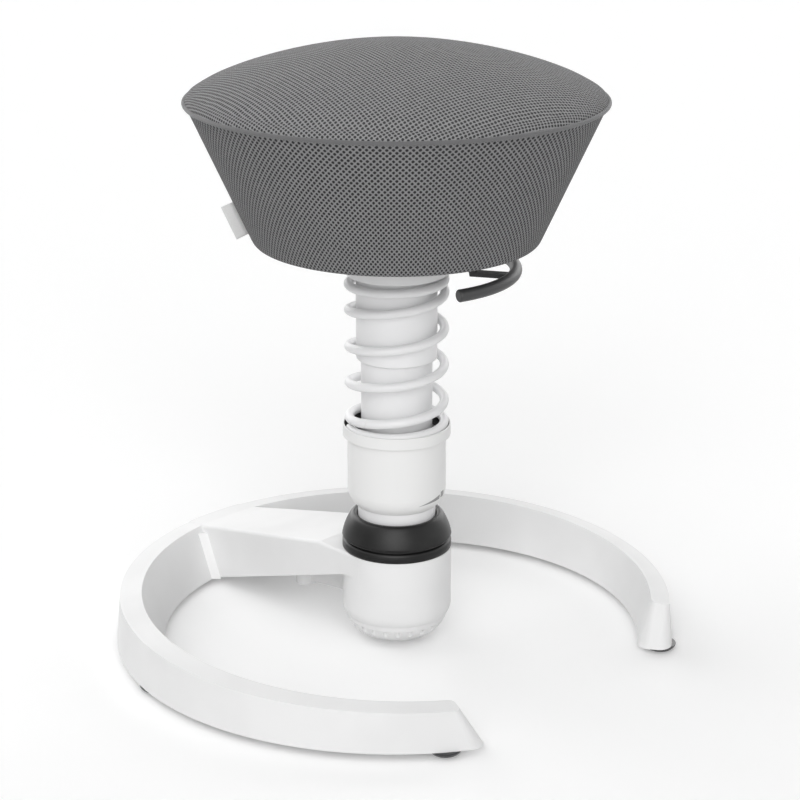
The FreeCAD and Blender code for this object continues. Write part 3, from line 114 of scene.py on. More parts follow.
class Finish:
    """One material: fixed values are set on its shader's sockets, varying ones are linked."""

    def __init__(self, name, color, roughness, **fixed):
        self.material = bpy.data.materials.new(name)
        self.material.use_nodes = True
        self.tree = self.material.node_tree
        self.shader = self.tree.nodes["Principled BSDF"]
        self.shader.inputs["Base Color"].default_value = (*color, 1)
        self.shader.inputs["Roughness"].default_value = roughness
        for socket, value in fixed.items():
            self.shader.inputs[socket.replace("_", " ")].default_value = value
        self.place = self.node("ShaderNodeTexCoord", output="Object")

    def node(self, kind, settings=None, values=None, output=0):
        """Adds a node: first its settings, then a value or a link for each named socket."""
        new = self.tree.nodes.new(kind)
        for key, value in (settings or {}).items():
            setattr(new, key, value)
        for key, value in (values or {}).items():
            if isinstance(value, Level):
                self.tree.links.new(value.socket, new.inputs[key])
            else:
                new.inputs[key].default_value = value
        return Level(self, new.outputs[output])

    def set(self, socket, level):
        self.tree.links.new(level.socket, self.shader.inputs[socket])

    def axes(self):
        """The x, y and z of each point of the piece."""
        parts = self.tree.nodes.new("ShaderNodeSeparateXYZ")
        self.tree.links.new(self.place.socket, parts.inputs[0])
        return [Level(self, out) for out in parts.outputs]

    def noise(self, scale, detail=2.0, roughness=0.5, stretch=None):
        """Scale is the number of spots in a metre."""
        place = self.place
        if stretch:
            place = self.node("ShaderNodeVectorMath", {"operation": "MULTIPLY"},
                              {0: place, 1: stretch})
        values = {"Vector": place, "Scale": scale, "Detail": detail, "Roughness": roughness}
        return self.node("ShaderNodeTexNoise", {}, values)

    def blend(self, level, first, second):
        """One color turning into another; each is a color or a link."""
        mix = self.tree.nodes.new("ShaderNodeMix")
        mix.data_type = "RGBA"
        self.tree.links.new(level.socket, mix.inputs["Factor"])
        for index, color in ((6, first), (7, second)):
            if isinstance(color, Level):
                self.tree.links.new(color.socket, mix.inputs[index])
            else:
                mix.inputs[index].default_value = (*color, 1)
        return Level(self, mix.outputs[2])

    def bump(self, height, depth):
        """Depth is in metres."""
        values = {"Height": height, "Distance": depth, "Strength": 1.0}
        self.set("Normal", self.node("ShaderNodeBump", {}, values))

    def on(self, *names):
        for name in names:
            mesh = nodes[name].data
            mesh.materials.clear()
            mesh.materials.append(self.material)
        return self


# %% [markdown]
# ## White powder coat
# Powder is sprayed on dry and melts into a skin with a faint orange peel, a millimetre or two across.
# A noise at that scale, used as a very shallow bump, gives it; a slower noise lets the gloss wander a
# little. Handling dulls the coat, so the roughness carries both.

# %% Powder coat, smooth paint and moulded plastic
def powder_coat(name, color, roughness, peel=0.00003, scale=420.0):
    """peel is the depth of the orange peel, scale the number of its bumps in a metre."""
    finish = Finish(name, color, roughness, Specular_IOR_Level=0.4)
    dapple = finish.noise(scale, 3.0)
    slow = finish.noise(14.0, 2.0)
    finish.set("Roughness", roughness - 0.06 + slow * 0.12 + dapple * 0.03)
    shade = [c * 0.955 for c in color]
    finish.set("Base Color", finish.blend(slow.between(0.35, 0.75), color, shade))
    finish.bump(dapple, peel)
    return finish


powder_coat("ring_powder_coat", (0.86, 0.86, 0.86), 0.42).on("foot_ring")
tube_white = powder_coat("column_powder_coat", (0.86, 0.86, 0.865), 0.36, 0.00002, 600.0)
tube_white.on("column_tube", "upper_sleeve", "top_collar", "standpipe", "coil_spring")
powder_coat("lever_powder_coat", (0.012, 0.012, 0.013), 0.4, 0.00004, 500.0).on(
    "lever_arm", "gas_cylinder")
print("powder coats:", [m.name for m in bpy.data.materials])

# %% [markdown]
# ## Moulded plastic
# Plastic comes out of its mould with a fine spark-eroded grain. The preload cup also carries a printed
# mark: a wedge that rises beside a small box. Print has no height, so it belongs in the color. The mark is
# drawn from each point's angle round the column and its height, not from an image.

# %% Plastics, with the wedge printed on the cup
def moulded(name, color, roughness, grain=0.00002, scale=900.0):
    """grain is the depth of the spark-eroded grain, scale the number of its grains in a metre."""
    finish = Finish(name, color, roughness, Specular_IOR_Level=0.45)
    texture = finish.noise(scale, 2.0)
    slow = finish.noise(20.0, 2.0)
    finish.set("Roughness", roughness - 0.05 + slow * 0.1 + texture * 0.04)
    finish.bump(texture, grain)
    return finish


def round_the_axis(finish, facing):
    """Angle in degrees round the column from a facing direction, distance from it, and height."""
    x, y, z = finish.axes()
    y = y - AXIS
    turn = math.radians(facing)
    ahead = x * math.cos(turn) + y * math.sin(turn)
    aside = y * math.cos(turn) - x * math.sin(turn)
    angle = aside.sum("ARCTAN2", ahead) * math.degrees(1)
    return angle, (x * x + y * y) ** 0.5, z


def within(level, start, end, edge):
    """1 from start to end and 0 outside, with borders as wide as edge."""
    return (level - start).between(0.0, edge) * (1 - (level - end).between(0.0, edge))


CUP, INK = (0.85, 0.85, 0.845), (0.3, 0.3, 0.3)
MARK_FACING = -93.0
WEDGE_Z, WEDGE_RISE, WEDGE_GROWTH, WEDGE_HALF = 0.1427, 0.000045, 0.000132, 17.0
BOX_ANGLES, BOX_HEIGHTS = (19.5, 28.0), (0.1440, 0.1497)
SOFT_EDGE, WEDGE_END, BOX_END = 0.0003, 0.6, 0.5
cup_white = moulded("cup_plastic", CUP, 0.38)
angle, _, height = round_the_axis(cup_white, MARK_FACING)
wedge_low = angle * WEDGE_RISE + WEDGE_Z
wedge_high = wedge_low + (angle + WEDGE_HALF) * WEDGE_GROWTH
wedge = within(height, wedge_low, wedge_high, SOFT_EDGE)
wedge = wedge * within(angle, -WEDGE_HALF, WEDGE_HALF, WEDGE_END)
box_mark = within(angle, *BOX_ANGLES, BOX_END) * within(height, *BOX_HEIGHTS, SOFT_EDGE)
cup_white.set("Base Color", cup_white.blend(wedge + box_mark, CUP, INK))
cup_white.on("preload_cup")
moulded("knob_plastic", (0.84, 0.84, 0.84), 0.4).on("stiffness_knob")
grip_black = moulded("grip_plastic", (0.045, 0.045, 0.046), 0.42, 0.00005, 700.0)
grip_black.on("lever_grip", "spring_pad")
moulded("pan_plastic", (0.035, 0.035, 0.036), 0.5, 0.00006, 500.0).on("seat_pan", "gas_bush")
moulded("bush_plastic", (0.32, 0.32, 0.31), 0.45).on(
    "tube_bush", "pipe_guide", "gas_seal")
moulded("glide_plastic", (0.03, 0.03, 0.033), 0.22).on("floor_glides")
moulded("buffer_rubber", (0.05, 0.05, 0.05), 0.7, 0.00006, 300.0).on(
    "bounce_buffer", "rubber_core")
print("printed wedge is centred", WEDGE_Z, "m above the floor, on the cup's taper")

# %% [markdown]
# ## Bare metal
# Zinc plate is a patchwork of slightly different greys with fine polishing lines; a ground piston rod is
# bright with rings from the grinding wheel; a die-cast hub is dull and a little grainy. All three are one
# recipe with other numbers: a stretched noise for the lines, a slow one for the patches.

# %% Metals
def metal(name, color, roughness, lines=(1.0, 1.0, 30.0), patch=0.12):
    """lines stretches the polishing marks along each axis, patch is how much darker patches are."""
    finish = Finish(name, color, roughness, Metallic=1.0)
    brushed = finish.noise(120.0, 3.0, stretch=lines)
    patches = finish.noise(45.0, 3.0)
    dark = [c * (1 - 2.2 * patch) for c in color]
    finish.set("Base Color", finish.blend(patches.between(0.35, 0.7), color, dark))
    finish.set("Roughness", roughness - 0.08 + brushed * 0.16)
    finish.bump(brushed, 0.00002)
    return finish


metal("zinc_plate", (0.66, 0.66, 0.64), 0.36).on(
    "core_keeper", "knob_spindle", "spindle_clip", "pressure_plate", "ball_foot", "foot_nut",
    "stop_ring", "rod_clip", "hub_screws", "lever_pin")
metal("ground_steel", (0.74, 0.74, 0.74), 0.16, (1.0, 1.0, 60.0), 0.02).on(
    "piston_rod", "thrust_bearing", "release_button")
metal("cast_aluminium", (0.6, 0.6, 0.6), 0.52, (1.0, 1.0, 1.0), 0.06).on("seat_hub")
print("finishes so far:", len(bpy.data.materials))

# %% [markdown]
# ## Mesh builders
# Nearly everything still to make is round: a profile spun about the column or a tube swept along a line.
# Two helpers build those as clean quads, which bend and subdivide well.

# %% Spin a profile, sweep a tube
CORNER = 50.0
SAME_POINT = 1e-6


def new_piece(name, verts, faces, finish=None):
    """A shaded mesh object; edges sharper than CORNER degrees stay crisp."""
    mesh = bpy.data.meshes.new(name)
    mesh.from_pydata(verts, [], faces)
    tidy = bmesh.new()
    tidy.from_mesh(mesh)
    bmesh.ops.remove_doubles(tidy, verts=tidy.verts, dist=SAME_POINT)
    bmesh.ops.recalc_face_normals(tidy, faces=tidy.faces)
    tidy.to_mesh(mesh)
    tidy.free()
    mesh.polygons.foreach_set("use_smooth", [True] * len(mesh.polygons))
    mesh.set_sharp_from_angle(angle=math.radians(CORNER))
    piece = bpy.data.objects.new(name, mesh)
    bpy.context.scene.collection.objects.link(piece)
    if finish:
        mesh.materials.append(finish.material)
    return piece


def spin(name, profile, finish=None, steps=128, closed=True, wave=None):
    """Turns a profile, a list of (radius, height), round the column.

    wave, if given, moves each point: it takes radius, height and angle."""
    verts, faces = [], []
    for step in range(steps):
        angle = 2 * math.pi * step / steps
        for r, z in profile:
            if wave:
                r, z = wave(r, z, angle)
            verts.append((r * math.cos(angle), AXIS + r * math.sin(angle), z))
    count = len(profile)
    rows = count if closed else count - 1
    for step in range(steps):
        here, there = step * count, (step + 1) % steps * count
        for row in range(rows):
            after = (row + 1) % count
            faces.append((here + row, there + row, there + after, here + after))
    return new_piece(name, verts, faces, finish)


def sweep(name, line, radius, finish, sides=16, ring=False):
    """A round tube along a line of points, with its ends closed."""
    verts, faces = [], []
    total = len(line)
    for index, point in enumerate(line):
        before = line[(index - 1) % total] if ring or index else line[0]
        after = line[(index + 1) % total] if ring or index < total - 1 else line[-1]
        along = (Vector(after) - Vector(before)).normalized()
        out = Vector((point[0], point[1] - AXIS, 0)).normalized()
        up = along.cross(out).normalized()
        out = up.cross(along)
        for side in range(sides):
            turn = 2 * math.pi * side / sides
            verts.append(Vector(point) + (out * math.cos(turn) + up * math.sin(turn)) * radius)
    for index in range(total if ring else total - 1):
        here, there = index * sides, (index + 1) % total * sides
        for side in range(sides):
            after = (side + 1) % sides
            faces.append((here + side, here + after, there + after, there + side))
    if not ring:
        faces.append(tuple(range(sides)))
        faces.append(tuple((total - 1) * sides + side for side in range(sides)))
    return new_piece(name, verts, faces, finish)


def arc(start, end, radius, steps):
    """Points on the short arc between two (radius, height) points; it bulges to the right."""
    a, b = Vector(start), Vector(end)
    half = (b - a) / 2
    side = Vector((half.y, -half.x)).normalized()
    center = a + half - side * math.sqrt(radius ** 2 - half.length ** 2)
    first = math.atan2(a.y - center.y, a.x - center.x)
    turn = 2 * math.asin(half.length / radius)
    angles = [first + turn * step / steps for step in range(steps + 1)]
    return [(center.x + radius * math.cos(a), center.y + radius * math.sin(a)) for a in angles]


print("builders ready: new_piece, spin, sweep and arc")

# %% [markdown]
# ## The seat's mesh cloth
# The cover is spacer mesh: two knitted faces with open cells and a pile between them. Seen from a step
# away it is a net of thin grey threads round small dark lozenges, about 5 mm wide and 6 mm high. The sum
# of two cosines is zero along just such a net of crossing lines, so its size without its sign says how far
# a point is from the nearest thread. The round top takes the net straight down, apart from a growing
# stretch where the crown turns steep near the piping. The side panel is knitted to shape: its columns of
# cells follow the cone's slope and its rows run level all round.

# %% The knitted cells
CELL, ROW = 0.0046, 0.0056
COLUMNS = 212
SEAM = 141.0
THREAD_EDGE, HOLE_EDGE = 0.22, 0.72
THREAD_LIFT = 0.0009


def knit(finish, columns, rows, thread, hole):
    """Colors and lifts a finish by its place on the cloth, counted in columns and rows of cells."""
    wobble = finish.noise(420.0, 2.0) * 1.1
    p = columns * (2 * math.pi) + wobble
    q = rows * (2 * math.pi) + wobble
    net = (p.sum("COSINE") + q.sum("COSINE")).sum("ABSOLUTE") * 0.5
    open_cell = net.between(THREAD_EDGE, HOLE_EDGE)
    strands = finish.noise(2600.0, 2.0, 0.6)
    slow = finish.noise(24.0, 3.0)
    dark, light = [c * 0.8 for c in thread], [c * 1.2 for c in thread]
    yarn = finish.blend(strands.between(0.3, 0.75), dark, light)
    yarn = finish.blend(slow.between(0.35, 0.75), yarn, thread)
    finish.set("Base Color", finish.blend(open_cell, yarn, hole))
    finish.set("Roughness", 0.92 - strands * 0.12)
    finish.bump((1 - open_cell) + strands * 0.25, THREAD_LIFT)
    return finish


THREAD, HOLE = (0.285, 0.285, 0.288), (0.042, 0.042, 0.044)
# The top's thread and hole colours are lighter than the side's: that difference is painted light, for the
# top lit from above.
TOP_THREAD_LIT, TOP_HOLE_LIT = (0.34, 0.34, 0.343), (0.056, 0.056, 0.058)
SHOULDER_Z, STRETCH = 0.517, 0.8
top_cloth = Finish("seat_top_cloth", THREAD, 0.85, Specular_IOR_Level=0.2)
x, y, z = top_cloth.axes()
turn = math.radians(VIEW_FROM - 11.0)
depth_in = x * math.cos(turn) + (y - AXIS) * math.sin(turn)
sideways = (y - AXIS) * math.cos(turn) - x * math.sin(turn)
reach = (x * x + (y - AXIS) * (y - AXIS)) ** 0.5
steep = (SHOULDER_Z - z).sum("MAXIMUM", 0.0) * STRETCH / reach + 1
knit(top_cloth, sideways * steep / CELL, depth_in * steep / ROW, TOP_THREAD_LIT, TOP_HOLE_LIT)

SIDE_LOW, SIDE_HIGH = (0.1268, 0.3811), (0.1834, 0.5058)
LEAN = math.atan2(SIDE_HIGH[0] - SIDE_LOW[0], SIDE_HIGH[1] - SIDE_LOW[1])
APEX = SIDE_LOW[1] - SIDE_LOW[0] / math.tan(LEAN)
side_cloth = Finish("seat_side_cloth", THREAD, 0.85, Specular_IOR_Level=0.15)
angle, reach, height = round_the_axis(side_cloth, SEAM + 180.0)
slant = (reach ** 2 + (height - APEX) ** 2) ** 0.5
knit(side_cloth, angle * (COLUMNS / 360), slant / ROW, THREAD, HOLE)
print("side panel leans", round(math.degrees(LEAN), 1), "degrees;",
      "its cone's tip is at z =", round(APEX, 3))

# %% [markdown]
# ## Plain woven trim
# Piping, hem and tag are narrow woven tape. A fine over-and-under weave comes from two crossed sines; at
# this size it only has to break up the light.

# %% Woven tape
TAPE_R = 0.18


def tape(name, color, pitch=0.0009, depth=0.00015):
    """pitch is the distance between threads, measured round the seat at TAPE_R."""
    finish = Finish(name, color, 0.85, Sheen_Weight=0.3, Sheen_Roughness=0.5)
    angle, _, height = round_the_axis(finish, SEAM + 180.0)
    warp = (angle * (TAPE_R * math.radians(1) * 2 * math.pi / pitch)).sum("SINE")
    weft = (height * (2 * math.pi / pitch)).sum("SINE")
    weave = warp * weft * 0.5 + 0.5
    fuzz = finish.noise(1500.0, 2.0)
    dark, light = [c * 0.7 for c in color], [min(c * 1.25, 0.95) for c in color]
    finish.set("Base Color", finish.blend(weave * 0.6 + fuzz * 0.4, dark, light))
    finish.set("Roughness", 0.9 - fuzz * 0.1)
    finish.bump(weave + fuzz * 0.3, depth)
    return finish


piping_tape = tape("piping_tape", (0.14, 0.14, 0.143))
hem_tape = tape("hem_tape", (0.16, 0.16, 0.163))
tag_tape = tape("tag_ribbon", (0.82, 0.82, 0.81), 0.0006, 0.00008)
print("tapes:", [finish.material.name for finish in (piping_tape, hem_tape, tag_tape)])

# %% [markdown]
# ## The stuffed seat
# One closed form is spun from the seat's profile: a crowned top, the leaning side, a small round at the
# bottom and the recess over the pan. Cloth simulation then pushes it out from inside, pinned where the
# real cover is sewn or stapled, which gives the slight swell between seams. The swell is capped, because
# moulded foam gives little. The panels keep their own faces, so each takes its own cloth.

# %% Profile of the seat
PIPE_R, PIPE_Z = 0.1853, 0.508
CROWN, CROWN_R = 0.0497, 0.1875
POWER_PART, POWER = 0.591, 1.707
ROUND_R = 0.0058
HEM_R, HEM_TOP = 0.1212, 0.42
SIDE_STEPS, CROWN_STEPS = 26, 40


def crown_height(radius):
    """Part power curve, part ellipse, in the shares that the photograph's outline gives."""
    t = min(radius / CROWN_R, 1.0)
    curve = POWER_PART * (1 - t ** POWER) + (1 - POWER_PART) * math.sqrt(1 - t * t)
    return PIPE_Z + CROWN * curve


def side_point(share):
    """A point on the straight side, from its foot at 0 to the seam at 1."""
    return tuple(a + (b - a) * share for a, b in zip(low_side, SIDE_HIGH))


low_side = (SIDE_LOW[0] + ROUND_R * math.sin(LEAN), SIDE_LOW[1] + ROUND_R * math.cos(LEAN))
under = [(0.0, 0.4176), (0.05, 0.4176), (0.0975, 0.4176), (0.1015, 0.389), (0.1205, 0.3882),
         (0.1208, 0.3832)]
bottom = arc((0.1217, SIDE_LOW[1]), low_side, 0.009, 6)
side = [side_point(step / SIDE_STEPS) for step in range(1, SIDE_STEPS + 1)]
radii = [PIPE_R * (1 - (step / CROWN_STEPS) ** 1.25) for step in range(1, CROWN_STEPS + 1)]
crown = [(PIPE_R, PIPE_Z + 0.0005)] + [(r, crown_height(r)) for r in radii]
seat = spin("seat_cushion", under + bottom + side + crown, closed=False, steps=180)
for finish in (side_cloth, top_cloth, hem_tape):
    seat.data.materials.append(finish.material)
for face in seat.data.polygons:
    reach = math.hypot(face.center.x, face.center.y - AXIS)
    if face.center.z > PIPE_Z and reach < PIPE_R:
        face.material_index = 1
    elif reach < HEM_R and face.center.z < HEM_TOP:
        face.material_index = 2
print("seat cushion has", len(seat.data.vertices), "points")

# %% [markdown]
# ## Blow the cushion up
# Pressure pushes the closed form outward for twenty frames. Points on the sewn lines are pinned, and no
# point may travel further than the cap. The result is written into the mesh and the modifier removed, so
# nothing is left to simulate later.

# %% Swell it with cloth simulation
PRESSURE, CAP = 4.0, 0.0025


def is_sewn(point):
    """True at the hem, in the recess over the pan and at the piping."""
    reach = math.hypot(point.x, point.y - AXIS)
    at_piping = math.hypot(reach - PIPE_R, point.z - PIPE_Z) < 0.005
    return point.z < 0.392 or (reach < 0.11 and point.z < HEM_TOP) or at_piping


def evaluated(piece):
    """The piece as its modifiers show it now."""
    return piece.evaluated_get(bpy.context.evaluated_depsgraph_get())


def swell(piece, pressure, cap, frames=20):
    """Blows a closed piece up a little; its sewn lines stay where they are."""
    rest = [v.co.copy() for v in piece.data.vertices]
    pin = piece.vertex_groups.new(name="sewn")
    for v in piece.data.vertices:
        pin.add([v.index], 1.0 if is_sewn(v.co) else 0.0, "REPLACE")
    cloth = piece.modifiers.new("Swell", "CLOTH")
    cloth.settings.use_pressure = True
    cloth.settings.uniform_pressure_force = pressure
    cloth.settings.vertex_group_mass = "sewn"
    cloth.settings.effector_weights.gravity = 0
    cloth.settings.quality = 6
    cloth.settings.tension_stiffness = 25
    cloth.settings.compression_stiffness = 25
    cloth.settings.bending_stiffness = 2.0
    for frame_number in range(1, frames + 1):
        bpy.context.scene.frame_set(frame_number)
    moved = [v.co.copy() for v in evaluated(piece).to_mesh().vertices]
    piece.modifiers.remove(cloth)
    bpy.context.scene.frame_set(1)
    longest = 0.0
    for v, start, end in zip(piece.data.vertices, rest, moved):
        way = end - start
        longest = max(longest, way.length)
        if way.length > cap:
            way = way * (cap / way.length)
        v.co = start + way
    return longest


def subdivided(piece):
    """Applies one smooth subdivision to a mesh."""
    modifier = piece.modifiers.new("Fine", "SUBSURF")
    modifier.levels = modifier.render_levels = 1
    mesh = bpy.data.meshes.new_from_object(evaluated(piece))
    piece.modifiers.remove(modifier)
    piece.data = mesh


longest = swell(seat, PRESSURE, CAP)
print("furthest point moved", round(longest * 1000, 2), "mm before the cap")
subdivided(seat)
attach(seat, "seat")
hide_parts("seat_foam", "cover_side", "cover_top")
print("finished cushion has", len(seat.data.polygons), "faces")

# %% [markdown]
# ## Piping and stitched seam
# Piping is a cord wrapped in tape and caught in the seam between top and side. It hides the raw edges and
# draws the seat's outline. Under it runs a row of short stitches. The side panel is one strip, closed by a
# seam at the tag.

# %% Piping and its stitches
CORD_R, CORD_STEPS = 0.0018, 240


def circle(radius, height, steps):
    angles = [2 * math.pi * step / steps for step in range(steps)]
    return [(radius * math.cos(a), AXIS + radius * math.sin(a), height) for a in angles]


piping_line = circle(PIPE_R, PIPE_Z, CORD_STEPS)
piping = sweep("seat_piping_cord", piping_line, CORD_R, piping_tape, 14, ring=True)
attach(piping, "seat")
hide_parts("seat_piping")


def stitches(name, places, width, finish):
    """Short threads as one mesh; each place is a start, an end and the way out of the cloth."""
    verts, faces = [], []
    for start, end, out in places:
        along = (end - start).normalized()
        across = along.cross(out).normalized() * width
        lift, tip = out * width * 0.8, along * 0.0002
        base = len(verts)
        verts += [start - tip, start + across, start + lift, start - across,
                  end + tip, end + across, end + lift, end - across]
        faces += [(base, base + 1, base + 2), (base, base + 2, base + 3),
                  (base + 4, base + 6, base + 5), (base + 4, base + 7, base + 6),
                  (base + 1, base + 5, base + 6, base + 2),
                  (base + 2, base + 6, base + 7, base + 3),
                  (base + 1, base + 3, base + 7, base + 5)]
    return new_piece(name, verts, faces, finish)


STITCHES, STITCH_DROP, STITCH_W = 300, 0.0052, 0.00035
SEAM_DEPTH = 0.0014
thread = Finish("sewing_thread", (0.22, 0.22, 0.225), 0.6)
twist = thread.noise(3000.0, 2.0)
thread.set("Base Color", thread.blend(twist, (0.16, 0.16, 0.165), (0.28, 0.28, 0.285)))
thread.bump(twist, 0.0001)
places = []
stitch_r = PIPE_R - STITCH_DROP * math.sin(LEAN) - SEAM_DEPTH
for index in range(STITCHES):
    ends = []
    for share in (0.1, 0.72):
        a = 2 * math.pi * (index + share) / STITCHES
        ends.append(Vector((stitch_r * math.cos(a), AXIS + stitch_r * math.sin(a),
                            PIPE_Z - STITCH_DROP)))
    out = Vector((math.cos(a), math.sin(a), -math.sin(LEAN))).normalized()
    places.append((ends[0], ends[1], out))
piping_stitches = stitches("piping_stitches", places, STITCH_W, thread)
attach(piping_stitches, "seat")
pitch = round(2000 * math.pi * stitch_r / STITCHES, 2)
print(STITCHES, "stitches under the piping,", pitch, "mm apart")

# %% [markdown]
# ## The hem
# Under the seat an elastic draws the side panel's edge in below the pan, so the cloth gathers. The folds
# are two sines that don't repeat together, and they grow from nothing at the seat's round edge.

# %% Hem under the seat
FOLD_IN, FOLD_DOWN = 0.0006, 0.0011
FLAT_R, FOLD_REACH = 0.121, 0.012


def gathers(r, z, a):
    inward = max(0.0, min(1.0, (FLAT_R - r) / FOLD_REACH))
    fold = math.sin(74 * a + 1.3 * math.sin(5 * a)) + 0.4 * math.sin(31 * a + 2.0)
    return r + FOLD_IN * inward * fold, z - FOLD_DOWN * inward * (1 + fold) * 0.5


hem_profile = [(0.1222, 0.3831), (0.119, 0.3826), (0.1155, 0.3824), (0.112, 0.3820),
               (0.1095, 0.3812), (0.1082, 0.3822), (0.1085, 0.3838), (0.112, 0.3842),
               (0.1155, 0.3842), (0.119, 0.3842), (0.1222, 0.3838)]
hem = spin("seat_hem", hem_profile, hem_tape, steps=720, wave=gathers)
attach(hem, "seat")
print("hem has", len(hem.data.vertices), "points")

# %% [markdown]
# ## The ribbon tag
# A short loop of ribbon is caught in the side panel's seam and stands straight out of the cloth. It is
# built in the seam's own directions: up the slope, out of the cloth, and along the side. Its ribbon is
# plain on both faces.

# %% The ribbon tag
TAG_Z, TAG_W, TAG_H = 0.3915, 0.0127, 0.0318
TAG_STEPS, TAG_ROWS = 16, 12
ROOT, HALF_GAP, CURL, FULLNESS = 0.001, 0.00042, 0.0016, 0.55
RIBBON = 0.00035
tag_turn = math.radians(SEAM)
out_dir = Vector((math.cos(tag_turn), math.sin(tag_turn), 0))
up_dir = Vector((0, 0, 1))
slope = out_dir * math.sin(LEAN) + up_dir * math.cos(LEAN)
face_out = out_dir * math.cos(LEAN) - up_dir * math.sin(LEAN)
sideways_dir = slope.cross(face_out).normalized()
foot_r = SIDE_LOW[0] + (TAG_Z - SIDE_LOW[1]) * math.tan(LEAN)
foot = Vector((0, AXIS, TAG_Z)) + out_dir * foot_r
verts, faces = [], []
for row in range(TAG_ROWS + 1):
    up = slope * (TAG_H * row / TAG_ROWS)
    for step in range(TAG_STEPS + 1):
        s = step / TAG_STEPS
        reach_out = TAG_W * math.sin(math.pi * s) ** FULLNESS if 0 < s < 1 else 0.0
        gap = HALF_GAP * math.cos(math.pi * s)
        curl = CURL * (reach_out / TAG_W) ** 2 * math.sin(row * 0.35 + 0.4)
        verts.append(foot + up + face_out * (reach_out - ROOT) + sideways_dir * (gap + curl))
for row in range(TAG_ROWS):
    for step in range(TAG_STEPS):
        here = row * (TAG_STEPS + 1) + step
        faces.append((here, here + 1, here + TAG_STEPS + 2, here + TAG_STEPS + 1))
tag = new_piece("seam_ribbon", verts, faces, tag_tape)
thick = tag.modifiers.new("Thick", "SOLIDIFY")
thick.thickness = RIBBON
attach(tag, "seat")
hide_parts("seam_tag")
print("tag stands", TAG_W * 1000, "mm out of the seam and is", TAG_H * 1000, "mm long")

# %% [markdown]
# ## Rubber gaiter
# A black rubber bellows keeps dirt out of the pot. Its foot sits on the pot and its lip on the column, and
# between them it has to bend both ways. The column leans on two crossed hinges with the rubber core
# between, so the gaiter is two pieces that meet half-way up: the lower one from the pot to the core, the
# upper one from the core to the column, and both have the same shape where they meet.

# %% Gaiter in two halves
RUBBER_DARK, RUBBER_LIGHT = (0.004, 0.004, 0.004), (0.010, 0.010, 0.0098)
rubber = Finish("gaiter_rubber", (0.006, 0.006, 0.006), 0.36, Specular_IOR_Level=0.3)
bloom = rubber.noise(60.0, 4.0)
pores = rubber.noise(900.0, 2.0)
rubber.set("Base Color", rubber.blend(bloom.between(0.4, 0.8), RUBBER_DARK, RUBBER_LIGHT))
rubber.set("Roughness", 0.3 + bloom * 0.14)
rubber.bump(pores, 0.00003)
DOME_R, DOME_Z, WALL, SPLIT = 0.0516, 0.093, 0.005, 0.109
GROOVE_TOP, LIP_OUT, LIP_IN = 0.0034, 0.002, 0.0030
RING_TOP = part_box("gaiter_ring")[1].z
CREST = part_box("gaiter_dome")[1].z


def on_dome(radius, z):
    """The point at height z on a sphere about the dome's middle."""
    return (math.sqrt(radius ** 2 - (z - DOME_Z) ** 2), z)


def rising(start, end, steps):
    return [start + (end - start) * step / steps for step in range(steps + 1)]


foot = [(0.0425, 0.0892), (0.0446, 0.0892), (0.0446, 0.09062), (0.0500, 0.09062),
        (0.0505, 0.0912)]
groove = [(0.0506, -0.0055), (0.0505, -0.0022), (0.0500, -0.0007), (0.0489, 0.0), (0.0478, 0.0004),
          (0.0475, 0.0011), (0.0478, 0.0018), (0.0491, 0.0021), (0.0502, 0.0024)]
heel = [(0.0446, 0.0015), (0.0432, -0.001), (0.0425, -0.004)]
lip = [(0.0424, -0.0010), (0.0415, -0.0004), (0.0403, 0.0), (0.0388, -0.0001), (0.0375, -0.0004),
       (0.0366, -0.0009), (0.0364, -0.0016), (0.0364, -0.0026)]
low_rise = rising(RING_TOP + GROOVE_TOP, SPLIT, 4)
low_profile = foot + [(r, RING_TOP + z) for r, z in groove]
low_profile += [on_dome(DOME_R, z) for z in low_rise]
low_profile += [on_dome(DOME_R - WALL, z) for z in reversed(low_rise)]
low_profile += [(r, RING_TOP + z) for r, z in heel]
high_profile = [on_dome(DOME_R, z) for z in rising(SPLIT, CREST - LIP_OUT, 12)]
high_profile += [(r, CREST + z) for r, z in lip]
high_profile += [on_dome(DOME_R - WALL, z) for z in reversed(rising(SPLIT, CREST - LIP_IN, 9))]
gaiter_low = spin("gaiter_foot", low_profile, rubber, 144)
gaiter_high = spin("gaiter_dome_rubber", high_profile, rubber, 144)
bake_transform(gaiter_low)
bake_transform(gaiter_high)
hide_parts("gaiter_ring")
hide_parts("gaiter_dome")
print("gaiter halves meet at z =", SPLIT, "and end at z =", round(CREST, 4))

# %% [markdown]
# ## Coil spring
# The spring is round wire with a closed turn at each end. When the seat is bounced on, its top goes down
# with the carriage; when the cup is screwed up, its bottom rises a little. One piece can follow only one
# of these, so the wire is two pieces that meet inside the cup's rim: a short lower one, and a long upper
# one that is attached to the column.

# %% Wire line and its two pieces
WIRE, MEAN, PITCH, PHASE = 0.0042, 0.0433, 0.0341, 144.8
MEET, BOUNCE = 1.12, 0.060
START_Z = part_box("coil_spring")[0].z + WIRE
END_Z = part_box("coil_spring")[1].z - WIRE
CLOSED = 2 * WIRE + 0.0003
TURNS = (END_Z - START_Z - 2 * CLOSED) / PITCH + 2


def wire_height(turn):
    if turn < 1:
        return START_Z + CLOSED * turn
    if turn > TURNS - 1:
        return END_Z - CLOSED * (TURNS - turn)
    return START_Z + CLOSED + PITCH * (turn - 1)


def wire_line(first, last, steps):
    """Points along the wire; averaging nearby heights rounds the kinks where its slope changes."""
    line = []
    near = (-0.06, -0.03, 0, 0.03, 0.06)
    for step in range(steps + 1):
        turn = first + (last - first) * step / steps
        z = sum(wire_height(min(max(turn + d, 0), TURNS)) for d in near) / len(near)
        a = math.radians(PHASE) + 2 * math.pi * turn
        line.append((MEAN * math.cos(a), AXIS + MEAN * math.sin(a), z))
    return line


